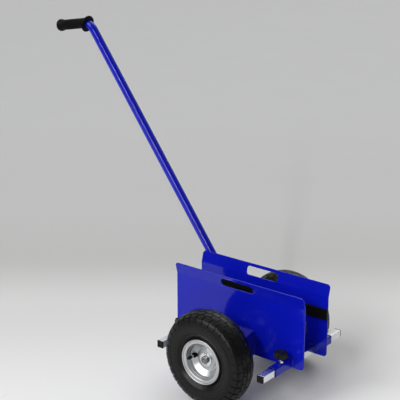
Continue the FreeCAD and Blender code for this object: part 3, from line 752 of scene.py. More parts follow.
def plate_mesh(sizes):
    """The flat sheet with its holes, cut along the bend and then bent."""
    bm = bmesh.new()
    half = (PLATE_HIGH.x - PLATE_LOW.x) / 2
    start, end = bend_lines(sizes)
    slack = sizes.bend_radius * math.tan(sizes.flare / 2)
    top = end + sizes.flare_rise / math.cos(sizes.flare) - slack
    slot_middle = end + sizes.slot_rise - slack + sizes.slot_height / 2
    bar_middle = BAR_Z - PLATE_FOOT
    bar_hole = BAR_HALF + BAR_HOLE_PLAY
    bar_corner = 0.001
    holes = [
        rectangle(-sizes.slot_setback, slot_middle, sizes.slot_length / 2, sizes.slot_height / 2,
                  sizes.slot_corner),
        rectangle(-BAR_X, bar_middle, bar_hole, bar_hole, bar_corner),
        rectangle(BAR_X, bar_middle, bar_hole, bar_hole, bar_corner),
        circle(0, AXLE_Z - PLATE_FOOT, AXLE_RADIUS + AXLE_HOLE_PLAY),
    ]
    sheet(bm, rectangle(0, top / 2, half, top / 2, sizes.corner), holes, sizes.sheet)
    cuts = 6
    for cut in range(cuts + 1):
        line = start + (end - start) * cut / cuts
        geometry = bm.verts[:] + bm.edges[:] + bm.faces[:]
        bmesh.ops.bisect_plane(bm, geom=geometry, dist=1e-7, plane_co=(0, 0, line), plane_no=UP)
    for vert in bm.verts:
        vert.co = bent(vert.co, sizes)
    return bm


class DOLLY_OT_side_plates(Operator):
    """Flared plates with hand slots and holes for the bars and axles"""
    bl_idname = "dolly.side_plates"
    bl_label = "Side plates"

    def execute(self, context):
        bm = plate_mesh(context.scene.dolly_plates)
        add_pair("flared_plate", bm, "blue_paint", "carriage", "side_plate")
        return {"FINISHED"}


class DOLLY_OT_rubber_strips(Operator):
    """Grooved rubber strips along the plates' inner faces"""
    bl_idname = "dolly.rubber_strips"
    bl_label = "Rubber strips"

    def execute(self, context):
        bm = bmesh.new()
        groove = context.scene.dolly_plates.pad_groove / 2
        grooves = 4
        face = PAD_LOW.y
        floor = face + 0.001
        fine = 0.0003
        edge = 0.0008
        pitch = (PAD_HIGH.z - PAD_LOW.z) / (grooves + 1)
        corners = [(PAD_HIGH.y, PAD_LOW.z, fine), (face, PAD_LOW.z, edge)]
        for count in range(1, grooves + 1):
            middle = PAD_LOW.z + pitch * count
            corners += [(y, middle - groove, fine) for y in (face, floor)]
            corners += [(y, middle + groove, fine) for y in (floor, face)]
        corners += [(face, PAD_HIGH.z, edge), (PAD_HIGH.y, PAD_HIGH.z, fine)]
        section = rounded(corners, steps=3)
        middle = (PAD_LOW.z + PAD_HIGH.z) / 2
        steps = soft_edge(0.0006)
        ends = [(PAD_LOW.x + depth, inset) for inset, depth in steps]
        ends += [(PAD_HIGH.x - depth, inset) for inset, depth in reversed(steps)]
        loops = []
        for x, inset in ends:
            narrow = 1 - inset / (PAD_HIGH.y - face)
            low = 1 - 2 * inset / (PAD_HIGH.z - PAD_LOW.z)
            loop = []
            for y, z in section:
                depth = PAD_HIGH.y + (y - PAD_HIGH.y) * narrow
                loop.append(Vector((x, depth, middle + (z - middle) * low)))
            loops.append(loop)
        skin(bm, loops)
        add_pair("rubber_strip", bm, "rubber", "carriage", "pad")
        return {"FINISHED"}


def nut_mesh(bm, base, way, height, flats):
    """A hexagon nut with chamfered corners and a chamfered bore."""
    shape = hexagon(flats)
    ring = flats / 2 * 0.97
    outside = [(depth, limited(shape, ring + depth * 1.6)) for depth in (0, 0.0003, 0.0006, 0.0009)]
    outside.append((0.0014, shape))
    back = [(height - along, radius) for along, radius in reversed(outside)]
    chamfer = 0.0006
    inside = [(height, NUT_BORE_RADIUS + chamfer), (height - chamfer, NUT_BORE_RADIUS)]
    inside += [(chamfer, NUT_BORE_RADIUS), (0, NUT_BORE_RADIUS + chamfer)]
    turned(bm, base, way, outside + back + inside, 72, True, FORWARD)


class DOLLY_OT_bar_sleeves(Operator):
    """Square sleeves that the bars slide in, with the clamp nuts on them"""
    bl_idname = "dolly.bar_sleeves"
    bl_label = "Bar sleeves and nuts"

    def execute(self, context):
        clamp = context.scene.dolly_clamps
        bore = SLEEVE_HALF - clamp.sleeve_wall
        corner = clamp.bar_corner + clamp.sleeve_wall
        sleeves = bmesh.new()
        nuts = bmesh.new()
        for x in (-BAR_X, BAR_X):
            square_tube(sleeves, x, BAR_Z, SLEEVE_LOW.y, SLEEVE_HIGH.y, SLEEVE_HALF, corner, bore,
                        edge=0.0005, mouth=0.0012)
            base = Vector((x, CLAMP_Y, NUT_LOW.z))
            nut_mesh(nuts, base, UP, NUT_HIGH.z - NUT_LOW.z, clamp.nut_flats)
        add_pair("square_sleeves", sleeves, "blue_paint", "carriage", "bar_sleeves")
        add_pair("hex_nuts", nuts, "bright_zinc", "carriage", "clamp_nuts")
        return {"FINISHED"}


class DOLLY_OT_axle_brackets(Operator):
    """Folded sheet brackets that stiffen the axles"""
    bl_idname = "dolly.axle_brackets"
    bl_label = "Axle brackets"

    def execute(self, context):
        plates = context.scene.dolly_plates
        wall = plates.bracket_sheet
        fold = plates.bracket_fold
        half = BRACKET_HIGH.x
        low = BRACKET_LOW.z
        front = BRACKET_HIGH.y - wall
        slope = plates.bracket_fall / (BRACKET_HIGH.y - BRACKET_LOW.y)
        edge = 0.0004
        bm = bmesh.new()
        loops = []
        for y in (BRACKET_LOW.y, front):
            top = BRACKET_HIGH.z - slope * (y - BRACKET_LOW.y)
            section = rounded([
                (-half, low, edge), (-half, top, fold), (half, top, fold), (half, low, edge),
                (half - wall, low, edge), (half - wall, top - wall, fold - wall),
                (wall - half, top - wall, fold - wall), (wall - half, low, edge),
            ], steps=6)
            loops.append([Vector((x, y, z)) for x, z in section])
        skin(bm, loops)
        end = bmesh.new()
        outline = rectangle(0, (low + top) / 2, half, (top - low) / 2, fold)
        sheet(end, outline, [circle(0, AXLE_Z, BRACKET_HOLE_RADIUS)], wall)
        for vert in end.verts:
            if vert.co.z > top - fold:
                vert.co.z -= slope * vert.co.y
            vert.co.y += front
        loose = bpy.data.meshes.new("bracket_end")
        end.to_mesh(loose)
        end.free()
        bm.from_mesh(loose)
        bpy.data.meshes.remove(loose)
        add_pair("folded_bracket", bm, "blue_paint", "carriage", "axle_bracket")
        return {"FINISHED"}


class DOLLY_OT_weld_beads(Operator):
    """Painted weld beads round the sleeves and brackets"""
    bl_idname = "dolly.weld_beads"
    bl_label = "Weld beads"

    def execute(self, context):
        plates = context.scene.dolly_plates
        clamp = context.scene.dolly_clamps
        face = INNER_FACE + plates.sheet + plates.weld * BEAD_OFF_PLATE
        lowest = PLATE_FOOT + plates.weld * 0.7
        bm = bmesh.new()
        ring = box_outline(SLEEVE_HALF, SLEEVE_HALF, clamp.bar_corner + clamp.sleeve_wall)
        for x in (-BAR_X, BAR_X):
            path = [Vector((x + u, face, max(BAR_Z + v, lowest))) for u, v in ring]
            weld_bead(bm, path, plates.weld, OUT, True)
        side = BRACKET_HIGH.x
        low = BRACKET_LOW.z + 0.003
        high = BRACKET_HIGH.z
        fold = plates.bracket_fold
        corners = [(-side, low, 0), (-side, high, fold), (side, high, fold), (side, low, 0)]
        path = [Vector((x, face, z)) for x, z in rounded(corners, closed=False, steps=8)]
        weld_bead(bm, path, plates.weld * 0.85, OUT)
        add_pair("weld_beads", bm, "blue_paint", "carriage")
        return {"FINISHED"}


# Cross bars

class DOLLY_OT_cross_bars(Operator):
    """Square plated bars with plastic plugs in their ends"""
    bl_idname = "dolly.cross_bars"
    bl_label = "Cross bars"

    def execute(self, context):
        clamp = context.scene.dolly_clamps
        bore = BAR_HALF - clamp.bar_wall
        for name, x in (("front", BAR_X), ("rear", -BAR_X)):
            bm = bmesh.new()
            square_tube(bm, x, BAR_Z, BAR_LOW.y, BAR_HIGH.y, BAR_HALF, clamp.bar_corner, bore)
            body = name + "_slide_bar"
            add_piece(name + "_square_bar", bm, "bright_zinc", body, name + "_bar")
            plugs = bmesh.new()
            for side in (-1, 1):
                self.plug(plugs, x, side, bore, clamp.bar_corner)
            add_piece(name + "_end_plugs", plugs, "black_plastic", body, name + "_bar_caps")
        return {"FINISHED"}

    def plug(self, bm, x, side, bore, corner):
        """A plug with a rimmed face and a ribbed stem."""
        head = BAR_HIGH.y
        face = PLUG_FACE
        half = BAR_HALF
        stem = bore - 0.0001
        root = stem - 0.0007
        soft = 0.0015
        softer = 0.0012
        levels = [(head - 0.014, stem - 0.001, soft), (head - 0.0125, stem, soft)]
        for ridge in range(3):
            start = head - 0.011 + ridge * 0.0035
            levels += [(start, stem, soft), (start + 0.0004, root, softer)]
            levels += [(start + 0.002, root, softer), (start + 0.0024, stem, soft)]
        levels += [(head, stem, soft), (head, half - 0.0004, corner)]
        levels += [(head + 0.0004, half, corner), (face - 0.0009, half, corner)]
        levels += [(face - 0.0003, half - 0.0003, corner), (face, half - 0.0009, corner)]
        levels += [(face, half - 0.0030, corner), (face - 0.0004, half - 0.0034, corner)]
        skin(bm, [square_loop(x, side * y, BAR_Z, size, radius) for y, size, radius in levels])


# Clamp screws

def knob_mesh(bm, base, way, height, clamp):
    """A star knob with soft lobes, a dished top and a round inlay."""
    outer = clamp.knob_diameter / 2
    flute = clamp.flute_diameter / 2
    distance = outer - clamp.flute_depth + flute
    spread = TURN / clamp.lobes
    blend = 0.0010

    def star(inset):
        def radius(angle):
            away = abs((angle - clamp.lobe_turn) % spread - spread / 2)
            straight = distance * math.sin(away)
            lobe = outer - inset
            if straight >= flute + inset:
                return lobe
            dip = distance * math.cos(away) - math.sqrt((flute + inset) ** 2 - straight ** 2)
            mix = max(blend - abs(lobe - dip), 0) / blend
            return min(lobe, dip) - mix * mix * blend / 4
        return radius

    profile = [(0, 0.0075), (0, star(0.0030)), (0.0003, star(0.0016)), (0.0010, star(0.0006))]
    profile += [(0.0022, star(0)), (height * 0.55, star(0))]
    edge = 0.0026
    for step in range(6):
        angle = QUARTER * step / 5
        profile.append((height - edge * (1 - math.sin(angle)), star(edge * (1 - math.cos(angle)))))
    profile += [(height - 0.0001, star(0.0042)), (height - 0.0008, 0.0098), (height - 0.0010, 0.0085)]
    profile += [(height - 0.0014, 0.0082), (height - 0.0014, 0.0079), (height - 0.0008, 0.0076)]
    profile += [(height - 0.0005, 0.0055), (height - 0.0004, 0)]
    turned(bm, base, way, profile, 160, False, FORWARD)


def stud_mesh(bm, base, way, span, pitch):
    """A right-handed threaded stud with chamfered ends."""
    rows = round(span / pitch * 8)
    depth = 0.0006
    chamfer = 0.0012
    profile = [(0, 0)]
    for row in range(rows + 1):
        along = span * row / rows
        limit = STUD_RADIUS - chamfer + min(along, span - along) * 1.2

        def reach(angle, along=along, limit=limit):
            flank = abs((along / pitch - angle / TURN) % 1 * 2 - 1)
            crest = min(max((flank - 0.15) / 0.7, 0), 1)
            return min(STUD_RADIUS - depth * crest, limit)

        profile.append((along, reach))
    profile.append((span, 0))
    turned(bm, base, way, profile, 32)


class DOLLY_OT_star_knobs(Operator):
    """Star knobs and threaded studs of the four bar clamps and the socket's clamp"""
    bl_idname = "dolly.star_knobs"
    bl_label = "Star knobs and studs"

    def execute(self, context):
        clamp = context.scene.dolly_clamps
        height = KNOB_HIGH.z - KNOB_LOW.z
        span = STUD_HIGH.z - STUD_LOW.z
        for end, x in (("front", BAR_X), ("rear", -BAR_X)):
            bm = bmesh.new()
            knob_mesh(bm, Vector((x, CLAMP_Y, KNOB_LOW.z)), UP, height, clamp)
            add_pair(end + "_star_knob", bm, "black_plastic", end + "_star", end + "_clamp_knob")
            for side, sign in (("left", 1), ("right", -1)):
                bm = bmesh.new()
                stud_mesh(bm, Vector((x, sign * CLAMP_Y, STUD_LOW.z)), UP, span, clamp.thread_pitch)
                name = side + "_" + end
                add_piece(name + "_threaded_stud", bm, "bright_zinc", name + "_screw", name + "_clamp_stud")
        base = SOCKET_NUT_MIDDLE.copy()
        base.y = SOCKET_KNOB_LOW.y
        bm = bmesh.new()
        knob_mesh(bm, base, OUT, SOCKET_KNOB_HIGH.y - SOCKET_KNOB_LOW.y, clamp)
        add_piece("socket_star_knob", bm, "black_plastic", "socket_star", "socket_knob")
        base.y = SOCKET_STUD_LOW.y
        bm = bmesh.new()
        stud_mesh(bm, base, OUT, SOCKET_STUD_HIGH.y - SOCKET_STUD_LOW.y, clamp.thread_pitch)
        add_piece("socket_threaded_stud", bm, "bright_zinc", "socket_screw", "socket_stud")
        return {"FINISHED"}


# Axles

class DOLLY_OT_axles(Operator):
    """Stub axles with their washers and split pins"""
    bl_idname = "dolly.axles"
    bl_label = "Axles, washers and pins"

    def execute(self, context):
        radius = AXLE_RADIUS
        centre = Vector((0, 0, AXLE_Z))
        start = AXLE_LOW.y
        end = AXLE_HIGH.y
        shaft = bmesh.new()
        profile = [(start, 0), (start, radius - 0.0006), (start + 0.0006, radius)]
        profile += [(end - 0.0015, radius), (end - 0.0004, radius - 0.0011), (end, radius - 0.0017)]
        profile += [(end, 0.0032), (end - 0.0004, 0.0029), (end - 0.0024, 0.0007), (end - 0.0030, 0)]
        turned(shaft, centre, OUT, profile, 64, False, FORWARD)
        add_pair("axle_shaft", shaft, "axle_steel", "carriage", "stub_axle")
        washers = bmesh.new()
        outer = (WASHER_HIGH.x - WASHER_LOW.x) / 2
        bore = radius + FIT_GAP
        thick = 0.003
        for start in (WASHER_LOW.y, WASHER_HIGH.y - thick):
            corners = [(start, bore, 0.0004), (start + thick, bore, 0.0004)]
            corners += [(start + thick, outer, 0.0008), (start, outer, 0.0003)]
            turned(washers, centre, OUT, rounded(corners), 96, True, FORWARD)
        add_pair("flat_washers", washers, "bright_zinc", "carriage", "axle_washers")
        pin = bmesh.new()
        self.pin(pin)
        add_pair("bent_pin", pin, "bright_zinc", "carriage", "split_pin")
        return {"FINISHED"}

    def pin(self, bm):
        """A split pin: one wire from leg to leg with an eye at its head."""
        low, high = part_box("left_split_pin")
        y = (low.y + high.y) / 2
        wire = 0.00098
        eye = 0.0040
        eye_middle = high.z - eye - wire
        under = AXLE_Z - AXLE_RADIUS - 0.001
        neck = AXLE_Z + AXLE_RADIUS + 0.004
        leg = [(0.0031, low.z + 0.0008), (0.0014, under), (0.001, under + 0.003), (0.001, neck)]
        path = [(-x, z) for x, z in leg]
        for step in range(17):
            angle = math.radians(-112 - 316 * step / 16)
            path.append((eye * math.cos(angle), eye_middle + eye * math.sin(angle)))
        path += reversed(leg)
        points = spaced([Vector((x, y, z)) for x, z in path], 0.0006)
        skin(bm, swept_loops(points, wire, OUT, 12))


# Wheels

def tyre_outline(wheel):
    """The tyre's outer half section, from the crown to the bead, and its running length."""
    crown = TYRE_RADIUS
    shoulder = (wheel.shoulder, crown - wheel.shoulder_drop)
    bead = (wheel.flange - FIT_GAP, wheel.lip + FIT_GAP)
    widest = (TYRE_HALF, (shoulder[1] + bead[1]) / 2)
    tread = arc((0, crown), (wheel.shoulder * 0.6, crown - wheel.shoulder_drop * 0.28), shoulder, 60)
    side = arc(shoulder, widest, bead, 90)
    points = tread + side[1:]
    mirrored = [Vector((-point.x, point.y)) for point in reversed(points[1:])]
    whole = mirrored + points
    soft = []
    smoothing = 8
    for index in range(len(mirrored), len(whole)):
        reach = min(smoothing, len(whole) - 1 - index)
        near = whole[index - reach:index + reach + 1]
        soft.append(sum(near, Vector((0, 0))) / len(near))
    marks = [0.0]
    for before, after in zip(soft, soft[1:]):
        marks.append(marks[-1] + (after - before).length)
    return soft, marks


def outline_at(soft, marks, reach):
    """(offset, radius) and outward direction at a running length; negative lengths are inboard."""
    mark = min(abs(reach), marks[-1])
    index = 0
    while index < len(marks) - 2 and marks[index + 1] < mark:
        index += 1
    share = (mark - marks[index]) / (marks[index + 1] - marks[index])
    point = soft[index].lerp(soft[index + 1], share)
    run = (soft[index + 1] - soft[index]).normalized()
    outward = Vector((-run.y, run.x))
    if index == 0:
        outward = Vector((0, 1))
    if reach < 0:
        return Vector((-point.x, point.y)), Vector((-outward.x, outward.y))
    return point, outward


class Tread:
    """Block tread: depth below the tyre's outline at any place on it."""
    inner_ring = (0.0064, 0.0086)
    outer_ring = (0.0204, 0.0226)
    side_ring = (0.0352, 0.0362)
    lug_end = 0.0500
    ramp = 0.0008
    slit = 0.0007
    wide_slit = 0.0032
    crown_share = 0.75
    wall_step = 0.0014
    rib = (0.0570, 0.0580)
    rib_depth = 0.0002
    ridge = (0.0800, 0.0830)
    ridge_height = 0.0004
    bead_gap = 0.0028
    bead_run = 0.003
    side_opening = 0.35
    widening_start = 0.024
    widening_run = 0.008
    block_edge = 0.0006
    lean = 0.25
    lean_run = 0.024
    wave = 0.0009
    wave_band = (0.004, 0.025)

    def __init__(self, wheel):
        self.pitches = wheel.pitches
        self.pitch = TURN * TYRE_RADIUS / wheel.pitches
        self.groove = wheel.groove

    def rows(self, end):
        """Running lengths of the mesh's rows over half the tyre."""
        def banded(band, edge):
            return [band[0] - edge, *band, band[1] + edge]

        edge = self.ramp
        marks = [0.0, *banded(self.inner_ring, edge), 0.0145, *banded(self.outer_ring, edge), 0.027, 0.031]
        marks += [*banded(self.side_ring, edge), 0.0405, 0.045, self.lug_end, self.lug_end + edge, 0.0535]
        marks += [*banded(self.rib, edge / 2), 0.062, 0.067, 0.072, 0.077]
        return marks + [self.ridge[0] - 0.0012, *self.ridge, end - self.bead_run, end]

    def opening(self, across):
        """From 0 on the crown to 1 at the shoulders, where the slits are wide and deep. Less below them."""
        if across > self.side_ring[1]:
            return self.side_opening
        return min(max((across - self.widening_start) / self.widening_run, 0), 1)

    def drift(self, reach):
        """How far the slits lean round the tyre at a running length, in pitches."""
        return self.lean * min(max(reach / self.lean_run, -1), 1)

    def zigzag(self, reach, phase):
        """How far a row of the crown swings sideways at a place within one pitch."""
        low, high = self.wave_band
        if not low < abs(reach) < high:
            return 0.0
        return math.copysign(self.wave, reach) * math.sin(TURN * phase)

    def slit_at(self, across):
        """Half width of the slits between blocks."""
        return self.slit + (self.wide_slit - self.slit) * self.opening(across)

    def columns(self, across):
        """Places within one pitch, from 0 to 1."""
        wide = self.slit_at(across) / self.pitch
        slit = self.slit / self.pitch
        edge = self.block_edge / self.pitch
        places = [wide, wide + edge, 0.25, 0.5 - slit - edge, 0.5 - slit]
        return places + [1 - place for place in reversed(places)]

    def depth(self, across, phase, end):
        """Depth at a running length and a place within one pitch."""
        if across > self.lug_end + self.ramp / 2:
            return self.wall_depth(across, end)
        groove = self.groove * (self.crown_share + (1 - self.crown_share) * self.opening(across))
        for ring in (self.inner_ring, self.outer_ring, self.side_ring):
            if ring[0] - MERGE <= across <= ring[1] + MERGE:
                return self.groove * self.crown_share
        middle_row = self.inner_ring[1] < across < self.outer_ring[0]
        away = abs((phase - (0.5 if middle_row else 0.0) + 0.5) % 1 - 0.5) * self.pitch
        if away > self.slit_at(across) + MERGE:
            return 0.0
        return groove

    def wall_depth(self, across, end):
        """Depth on the side wall, with its rib and ridge and the step down to the bead."""
        if self.rib[0] - MERGE <= across <= self.rib[1] + MERGE:
            return self.rib_depth
        if self.ridge[0] - MERGE <= across <= self.ridge[1] + MERGE:
            return -self.ridge_height
        if across > end - self.bead_run - MERGE:
            return self.bead_gap
        return self.wall_step


def tyre_mesh(wheel):
    """Rows round the tyre, sunk by the tread, and the inside of its casing."""
    soft, marks = tyre_outline(wheel)
    end = marks[-1]
    tread = Tread(wheel)
    half = tread.rows(end)
    rows = [-mark for mark in reversed(half[1:])] + half

    def columns(across):
        return [(count, phase) for count in range(tread.pitches) for phase in tread.columns(across)]

    loops = []
    for reach in rows:
        across = abs(reach)
        drift = tread.drift(reach)
        loop = []
        for count, phase in columns(across):
            point, outward = outline_at(soft, marks, reach + tread.zigzag(reach, phase))
            point = point - outward * tread.depth(across, phase, end)
            loop.append(around(point, TURN * (count + phase + drift) / tread.pitches))
        loops.append(loop)
    angles = [TURN * (count + phase) / tread.pitches for count, phase in columns(end)]
    for point in tyre_inside(wheel):
        loops.append([around(point, angle) for angle in angles])
    bm = bmesh.new()
    skin(bm, loops, joined=True)
    return bm


def around(point, angle):
    """A section's (offset, radius) point turned about the left axle."""
    spoke = FORWARD * math.cos(angle) + UP * math.sin(angle)
    return WHEEL_MIDDLE + OUT * point[0] + spoke * point[1]


def tyre_inside(wheel):
    """The tyre's inner section, from the outboard bead round to the inboard one."""
    foot = wheel.seat + FIT_GAP
    bead = wheel.flange - FIT_GAP
    toe = bead - 0.009
    throat = (toe + 0.003, wheel.lip + FIT_GAP)
    belly = (TYRE_HALF - 0.006, (TYRE_RADIUS - wheel.shoulder_drop + wheel.lip) / 2)
    top = (wheel.shoulder - 0.006, TYRE_RADIUS - 0.018)
    corners = [(bead, wheel.lip, 0), (bead, foot, 0.002), (toe, foot, 0.002), (*throat, 0)]
    points = rounded(corners, closed=False)
    points += arc(throat, belly, top, 10)[1:]
    points += arc(top, (top[0] * 0.6, TYRE_RADIUS - 0.0122), (0, TYRE_RADIUS - 0.010), 5)[1:]
    return points + [Vector((-point[0], point[1])) for point in reversed(points[:-1])]


class DOLLY_OT_tyres(Operator):
    """Block-tread tyres and the tubes in them"""
    bl_idname = "dolly.tyres"
    bl_label = "Tyres"

    def execute(self, context):
        bm = tyre_mesh(context.scene.dolly_wheels)
        for item in add_pair("treaded_tyre", bm, "tyre_rubber", "wheel", "tyre"):
            soften = item.modifiers.new("soft_blocks", "BEVEL")
            soften.width = 0.00035
            soften.segments = 2
            soften.limit_method = "ANGLE"
            soften.angle_limit = math.radians(38)
            item.modifiers.move(1, 0)
        low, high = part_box("left_inner_tube")
        half_width = (high.y - low.y) / 2
        outer = high.z - AXLE_Z
        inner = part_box("left_valve_stem")[0].x
        middle = (outer + abs(inner)) / 2
        half_height = outer - middle
        section = [(half_width * spoke.y, middle + half_height * spoke.x) for spoke in spokes(40)]
        for item in add_wheel_pair("air_tube", section, "rubber", "inner_tube", 96):
            wall = item.modifiers.new("tube_wall", "SOLIDIFY")
            wall.thickness = 0.002
            wall.offset = -1
            item.modifiers.move(1, 0)
        return {"FINISHED"}


def rim_section(wheel):
    """The rim's section: a drop-centre barrel with rolled lips."""
    seat = wheel.seat
    flange = wheel.flange
    well = seat - RIM_WELL_DEPTH
    roll = 0.0024
    lip = wheel.lip - roll
    inside = seat - wheel.rim_sheet
    inside_well = well - wheel.rim_sheet
    face = flange + wheel.rim_sheet
    half = [(0, well, 0), (0.010, well, 0.002), (0.016, seat, 0.002), (flange, seat, 0.0015)]
    half.append((flange, lip - 0.001, 0))
    points = rounded(half, closed=False)
    centre = Vector((flange + roll, lip))
    for step in range(13):
        angle = math.radians(180 - 260 * step / 12)
        points.append(centre + Vector((math.cos(angle), math.sin(angle))) * roll)
    back = [(face + 0.0006, lip - 0.0022, 0), (face, lip - 0.004, 0.002), (face, inside, 0.0045)]
    back += [(0.017, inside, 0.002), (0.011, inside_well, 0.002), (0, inside_well, 0)]
    points += rounded(back, closed=False, steps=6)
    return points + [Vector((-point.x, point.y)) for point in reversed(points[1:-1])]


def pressed(front, thickness):
    """A closed section from a sheet's front line, as thick along the axle everywhere."""
    return list(front) + [Vector((point.x - thickness, point.y)) for point in reversed(front)]


class DOLLY_OT_rims(Operator):
    """Rims with rolled lips, pressed discs and hubs"""
    bl_idname = "dolly.rims"
    bl_label = "Rims, discs and hubs"

    def execute(self, context):
        wheel = context.scene.dolly_wheels
        add_wheel_pair("rolled_rim", rim_section(wheel), "rim_steel", "rim")
        close = 0.00005
        edge = wheel.seat - wheel.rim_sheet - close
        dish = rounded([
            (0.025, edge - 0.0006, 0), (DISH_EDGE, edge - wheel.disc_sheet, 0.004), (*DISH_VALLEY, 0.004),
            (0.0105, 0.0268, 0.0022), (0.0105, 0.0240, 0.0008), (0.0117, 0.0228, 0.0008),
            (0.0117, HUB_RADIUS, 0),
        ], closed=False, steps=7)
        section = pressed(dish, wheel.disc_sheet)
        section[0] = Vector((0.025, edge - 0.0012))
        section[-1] = Vector((0.0248, edge))
        add_wheel_pair("dished_disc", section, "rim_steel", "front_disc")
        well = wheel.seat - RIM_WELL_DEPTH - wheel.rim_sheet - close
        back = rounded([
            (-0.0045, well, 0), (-0.0105, well - 0.0005, 0.003), (-0.026, 0.026, 0.006),
            (-0.030, 0.0225, 0.002), (-0.030, HUB_RADIUS, 0),
        ], closed=False, steps=6)
        add_wheel_pair("rear_disc", pressed(back, wheel.disc_sheet), "rim_steel", "back_disc")
        start = HUB_LOW.y - WHEEL_MIDDLE.y
        end = HUB_HIGH.y - WHEEL_MIDDLE.y
        bore = HUB_RADIUS - 0.004
        corners = [(start, bore), (start, HUB_RADIUS), (end, HUB_RADIUS), (end, bore)]
        tube = rounded([(*corner, 0.0008) for corner in corners])
        add_wheel_pair("hub_tube", tube, "rim_steel", "hub", 96)
        return {"FINISHED"}


class DOLLY_OT_bearings(Operator):
    """Finishes for the bearings in the hubs and the spigot in the drawbar, which keep their CAD shapes"""
    bl_idname = "dolly.bearings"
    bl_label = "Bearings and spigot"

    def execute(self, context):
        finishes = {"drawbar_spigot": "bright_zinc"}
        for side in ("left", "right"):
            finishes[side + "_bearing_cages"] = "nylon"
            finishes[side + "_bearing_rollers"] = "axle_steel"
        for node, slot in finishes.items():
            item = frame["nodes"][node]
            item.data.materials.clear()
            item.data.materials.append(finish(slot))
        return {"FINISHED"}


class DOLLY_OT_valves(Operator):
    """Bent valve stems with their grommets and ribbed caps"""
    bl_idname = "dolly.valves"
    bl_label = "Valves"

    def execute(self, context):
        wheel = context.scene.dolly_wheels
        outward = FORWARD * math.cos(wheel.valve_turn) + UP * math.sin(wheel.valve_turn)
        across = outward.cross(OUT)
        axis = Vector((0, 0, AXLE_Z)) + outward * wheel.valve_radius
        foot = (wheel.seat + 0.0095, WHEEL_MIDDLE.y + 0.002)
        bend = (wheel.valve_radius, foot[1], 0.0055)
        tip = (wheel.valve_radius, CAP_END - 0.0014)
        path = rounded([(*foot, 0), bend, (*tip, 0)], closed=False, steps=10)
        line = spaced([Vector((0, y, AXLE_Z)) + outward * reach for reach, y in path], 0.0004)
        plain = len(line) - 40

        def threaded(index):
            return VALVE_STEM_RADIUS - (0.0004 if index > plain and index % 2 else 0)

        stem = bmesh.new()
        skin(stem, swept_loops(line, threaded, across, 20))
        add_pair("threaded_valve", stem, "valve_metal", "wheel", "valve_stem")
        self.cap(axis, across)
        self.grommet(wheel, axis, outward, across)
        return {"FINISHED"}

    def cap(self, axis, across):
        """A cap with fine ribs round its skirt."""
        span = 0.015
        top = 0.0012
        bore = 0.0031
        base = axis + OUT * (CAP_END - span)

        def ribbed(angle):
            return 0.0042 + 0.0003 * max(math.cos(18 * angle), -0.3)

        profile = [(0, bore), (0, 0.0043), (0.0004, 0.0045), (0.0022, 0.0045), (0.0026, ribbed)]
        profile += [(span - 0.0030, ribbed), (span - 0.0024, 0.0043), (span - 0.0012, 0.0040)]
        profile += [(span - 0.0003, 0.0032), (span, 0.0018), (span, 0), (span - top, 0), (span - top, bore)]
        bm = bmesh.new()
        turned(bm, base, OUT, profile, 108, True, across)
        add_pair("ribbed_cap", bm, "black_plastic", "wheel", "valve_cap")

    def grommet(self, wheel, axis, outward, across):
        """A rubber plug whose head sits on the slope of the dish."""
        low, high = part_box("left_valve_grommet")
        foot, foot_radius = DISH_VALLEY
        slope = (DISH_EDGE - foot) / (wheel.seat - wheel.rim_sheet - wheel.disc_sheet - foot_radius)
        head = 0.0070
        neck = 0.0049
        bore = VALVE_STEM_RADIUS + 0.00006
        levels = [(head, None, 0), (head, None, 0.0012), (0.0066, high.y - 0.0007, 0), (0.0058, high.y, 0)]
        levels += [(0.0044, high.y, 0), (0.0038, high.y - 0.0006, 0), (bore, high.y - 0.0022, 0)]
        levels += [(bore, low.y, 0), (neck, low.y, 0), (neck, None, 0)]
        loops = []
        for radius, height, lift in levels:
            loop = []
            for spoke in spokes(48):
                reach = radius * spoke.x
                on_dish = WHEEL_MIDDLE.y + foot + slope * (wheel.valve_radius + reach - foot_radius)
                y = min(on_dish + lift, high.y - 0.001) if height is None else height
                loop.append(axis + OUT * y + outward * reach + across * (radius * spoke.y))
            loops.append(loop)
        bm = bmesh.new()
        skin(bm, loops, joined=True)
        add_pair("valve_plug", bm, "rubber", "wheel", "valve_grommet")


# Drawbar

class DrawbarPlaces:
    """Foot, seam and corner of the drawbar, its own way and the way that its grip points."""

    def __init__(self, drawbar):
        radius = drawbar.diameter / 2
        self.way = DRAWBAR_WAY.normalized()
        self.foot = Vector((DRAWBAR_HIGH.x - radius * self.way.z, DRAWBAR_Y,
                            DRAWBAR_LOW.z - radius * self.way.x))
        self.seam = self.foot + self.way * drawbar.lower
        self.corner = self.seam + self.way * drawbar.upper
        self.grip_way = Vector((-math.cos(drawbar.grip_drop), 0, -math.sin(drawbar.grip_drop)))


def round_bend(point, places, bend):
    """Takes a point of a straight grip to its place on a grip that follows the drawbar's bend."""
    way = places.way
    grip_way = places.grip_way
    half_turn = way.angle(grip_way) / 2
    tangent = bend * math.tan(half_turn)
    along = (point - places.corner).dot(grip_way)
    if along >= tangent:
        return point
    centre = places.corner + (grip_way - way).normalized() * (bend / math.cos(half_turn))
    back = Matrix.Rotation((along - tangent) / bend, 3, way.cross(grip_way))
    return centre + back @ (point + grip_way * (tangent - along) - centre)


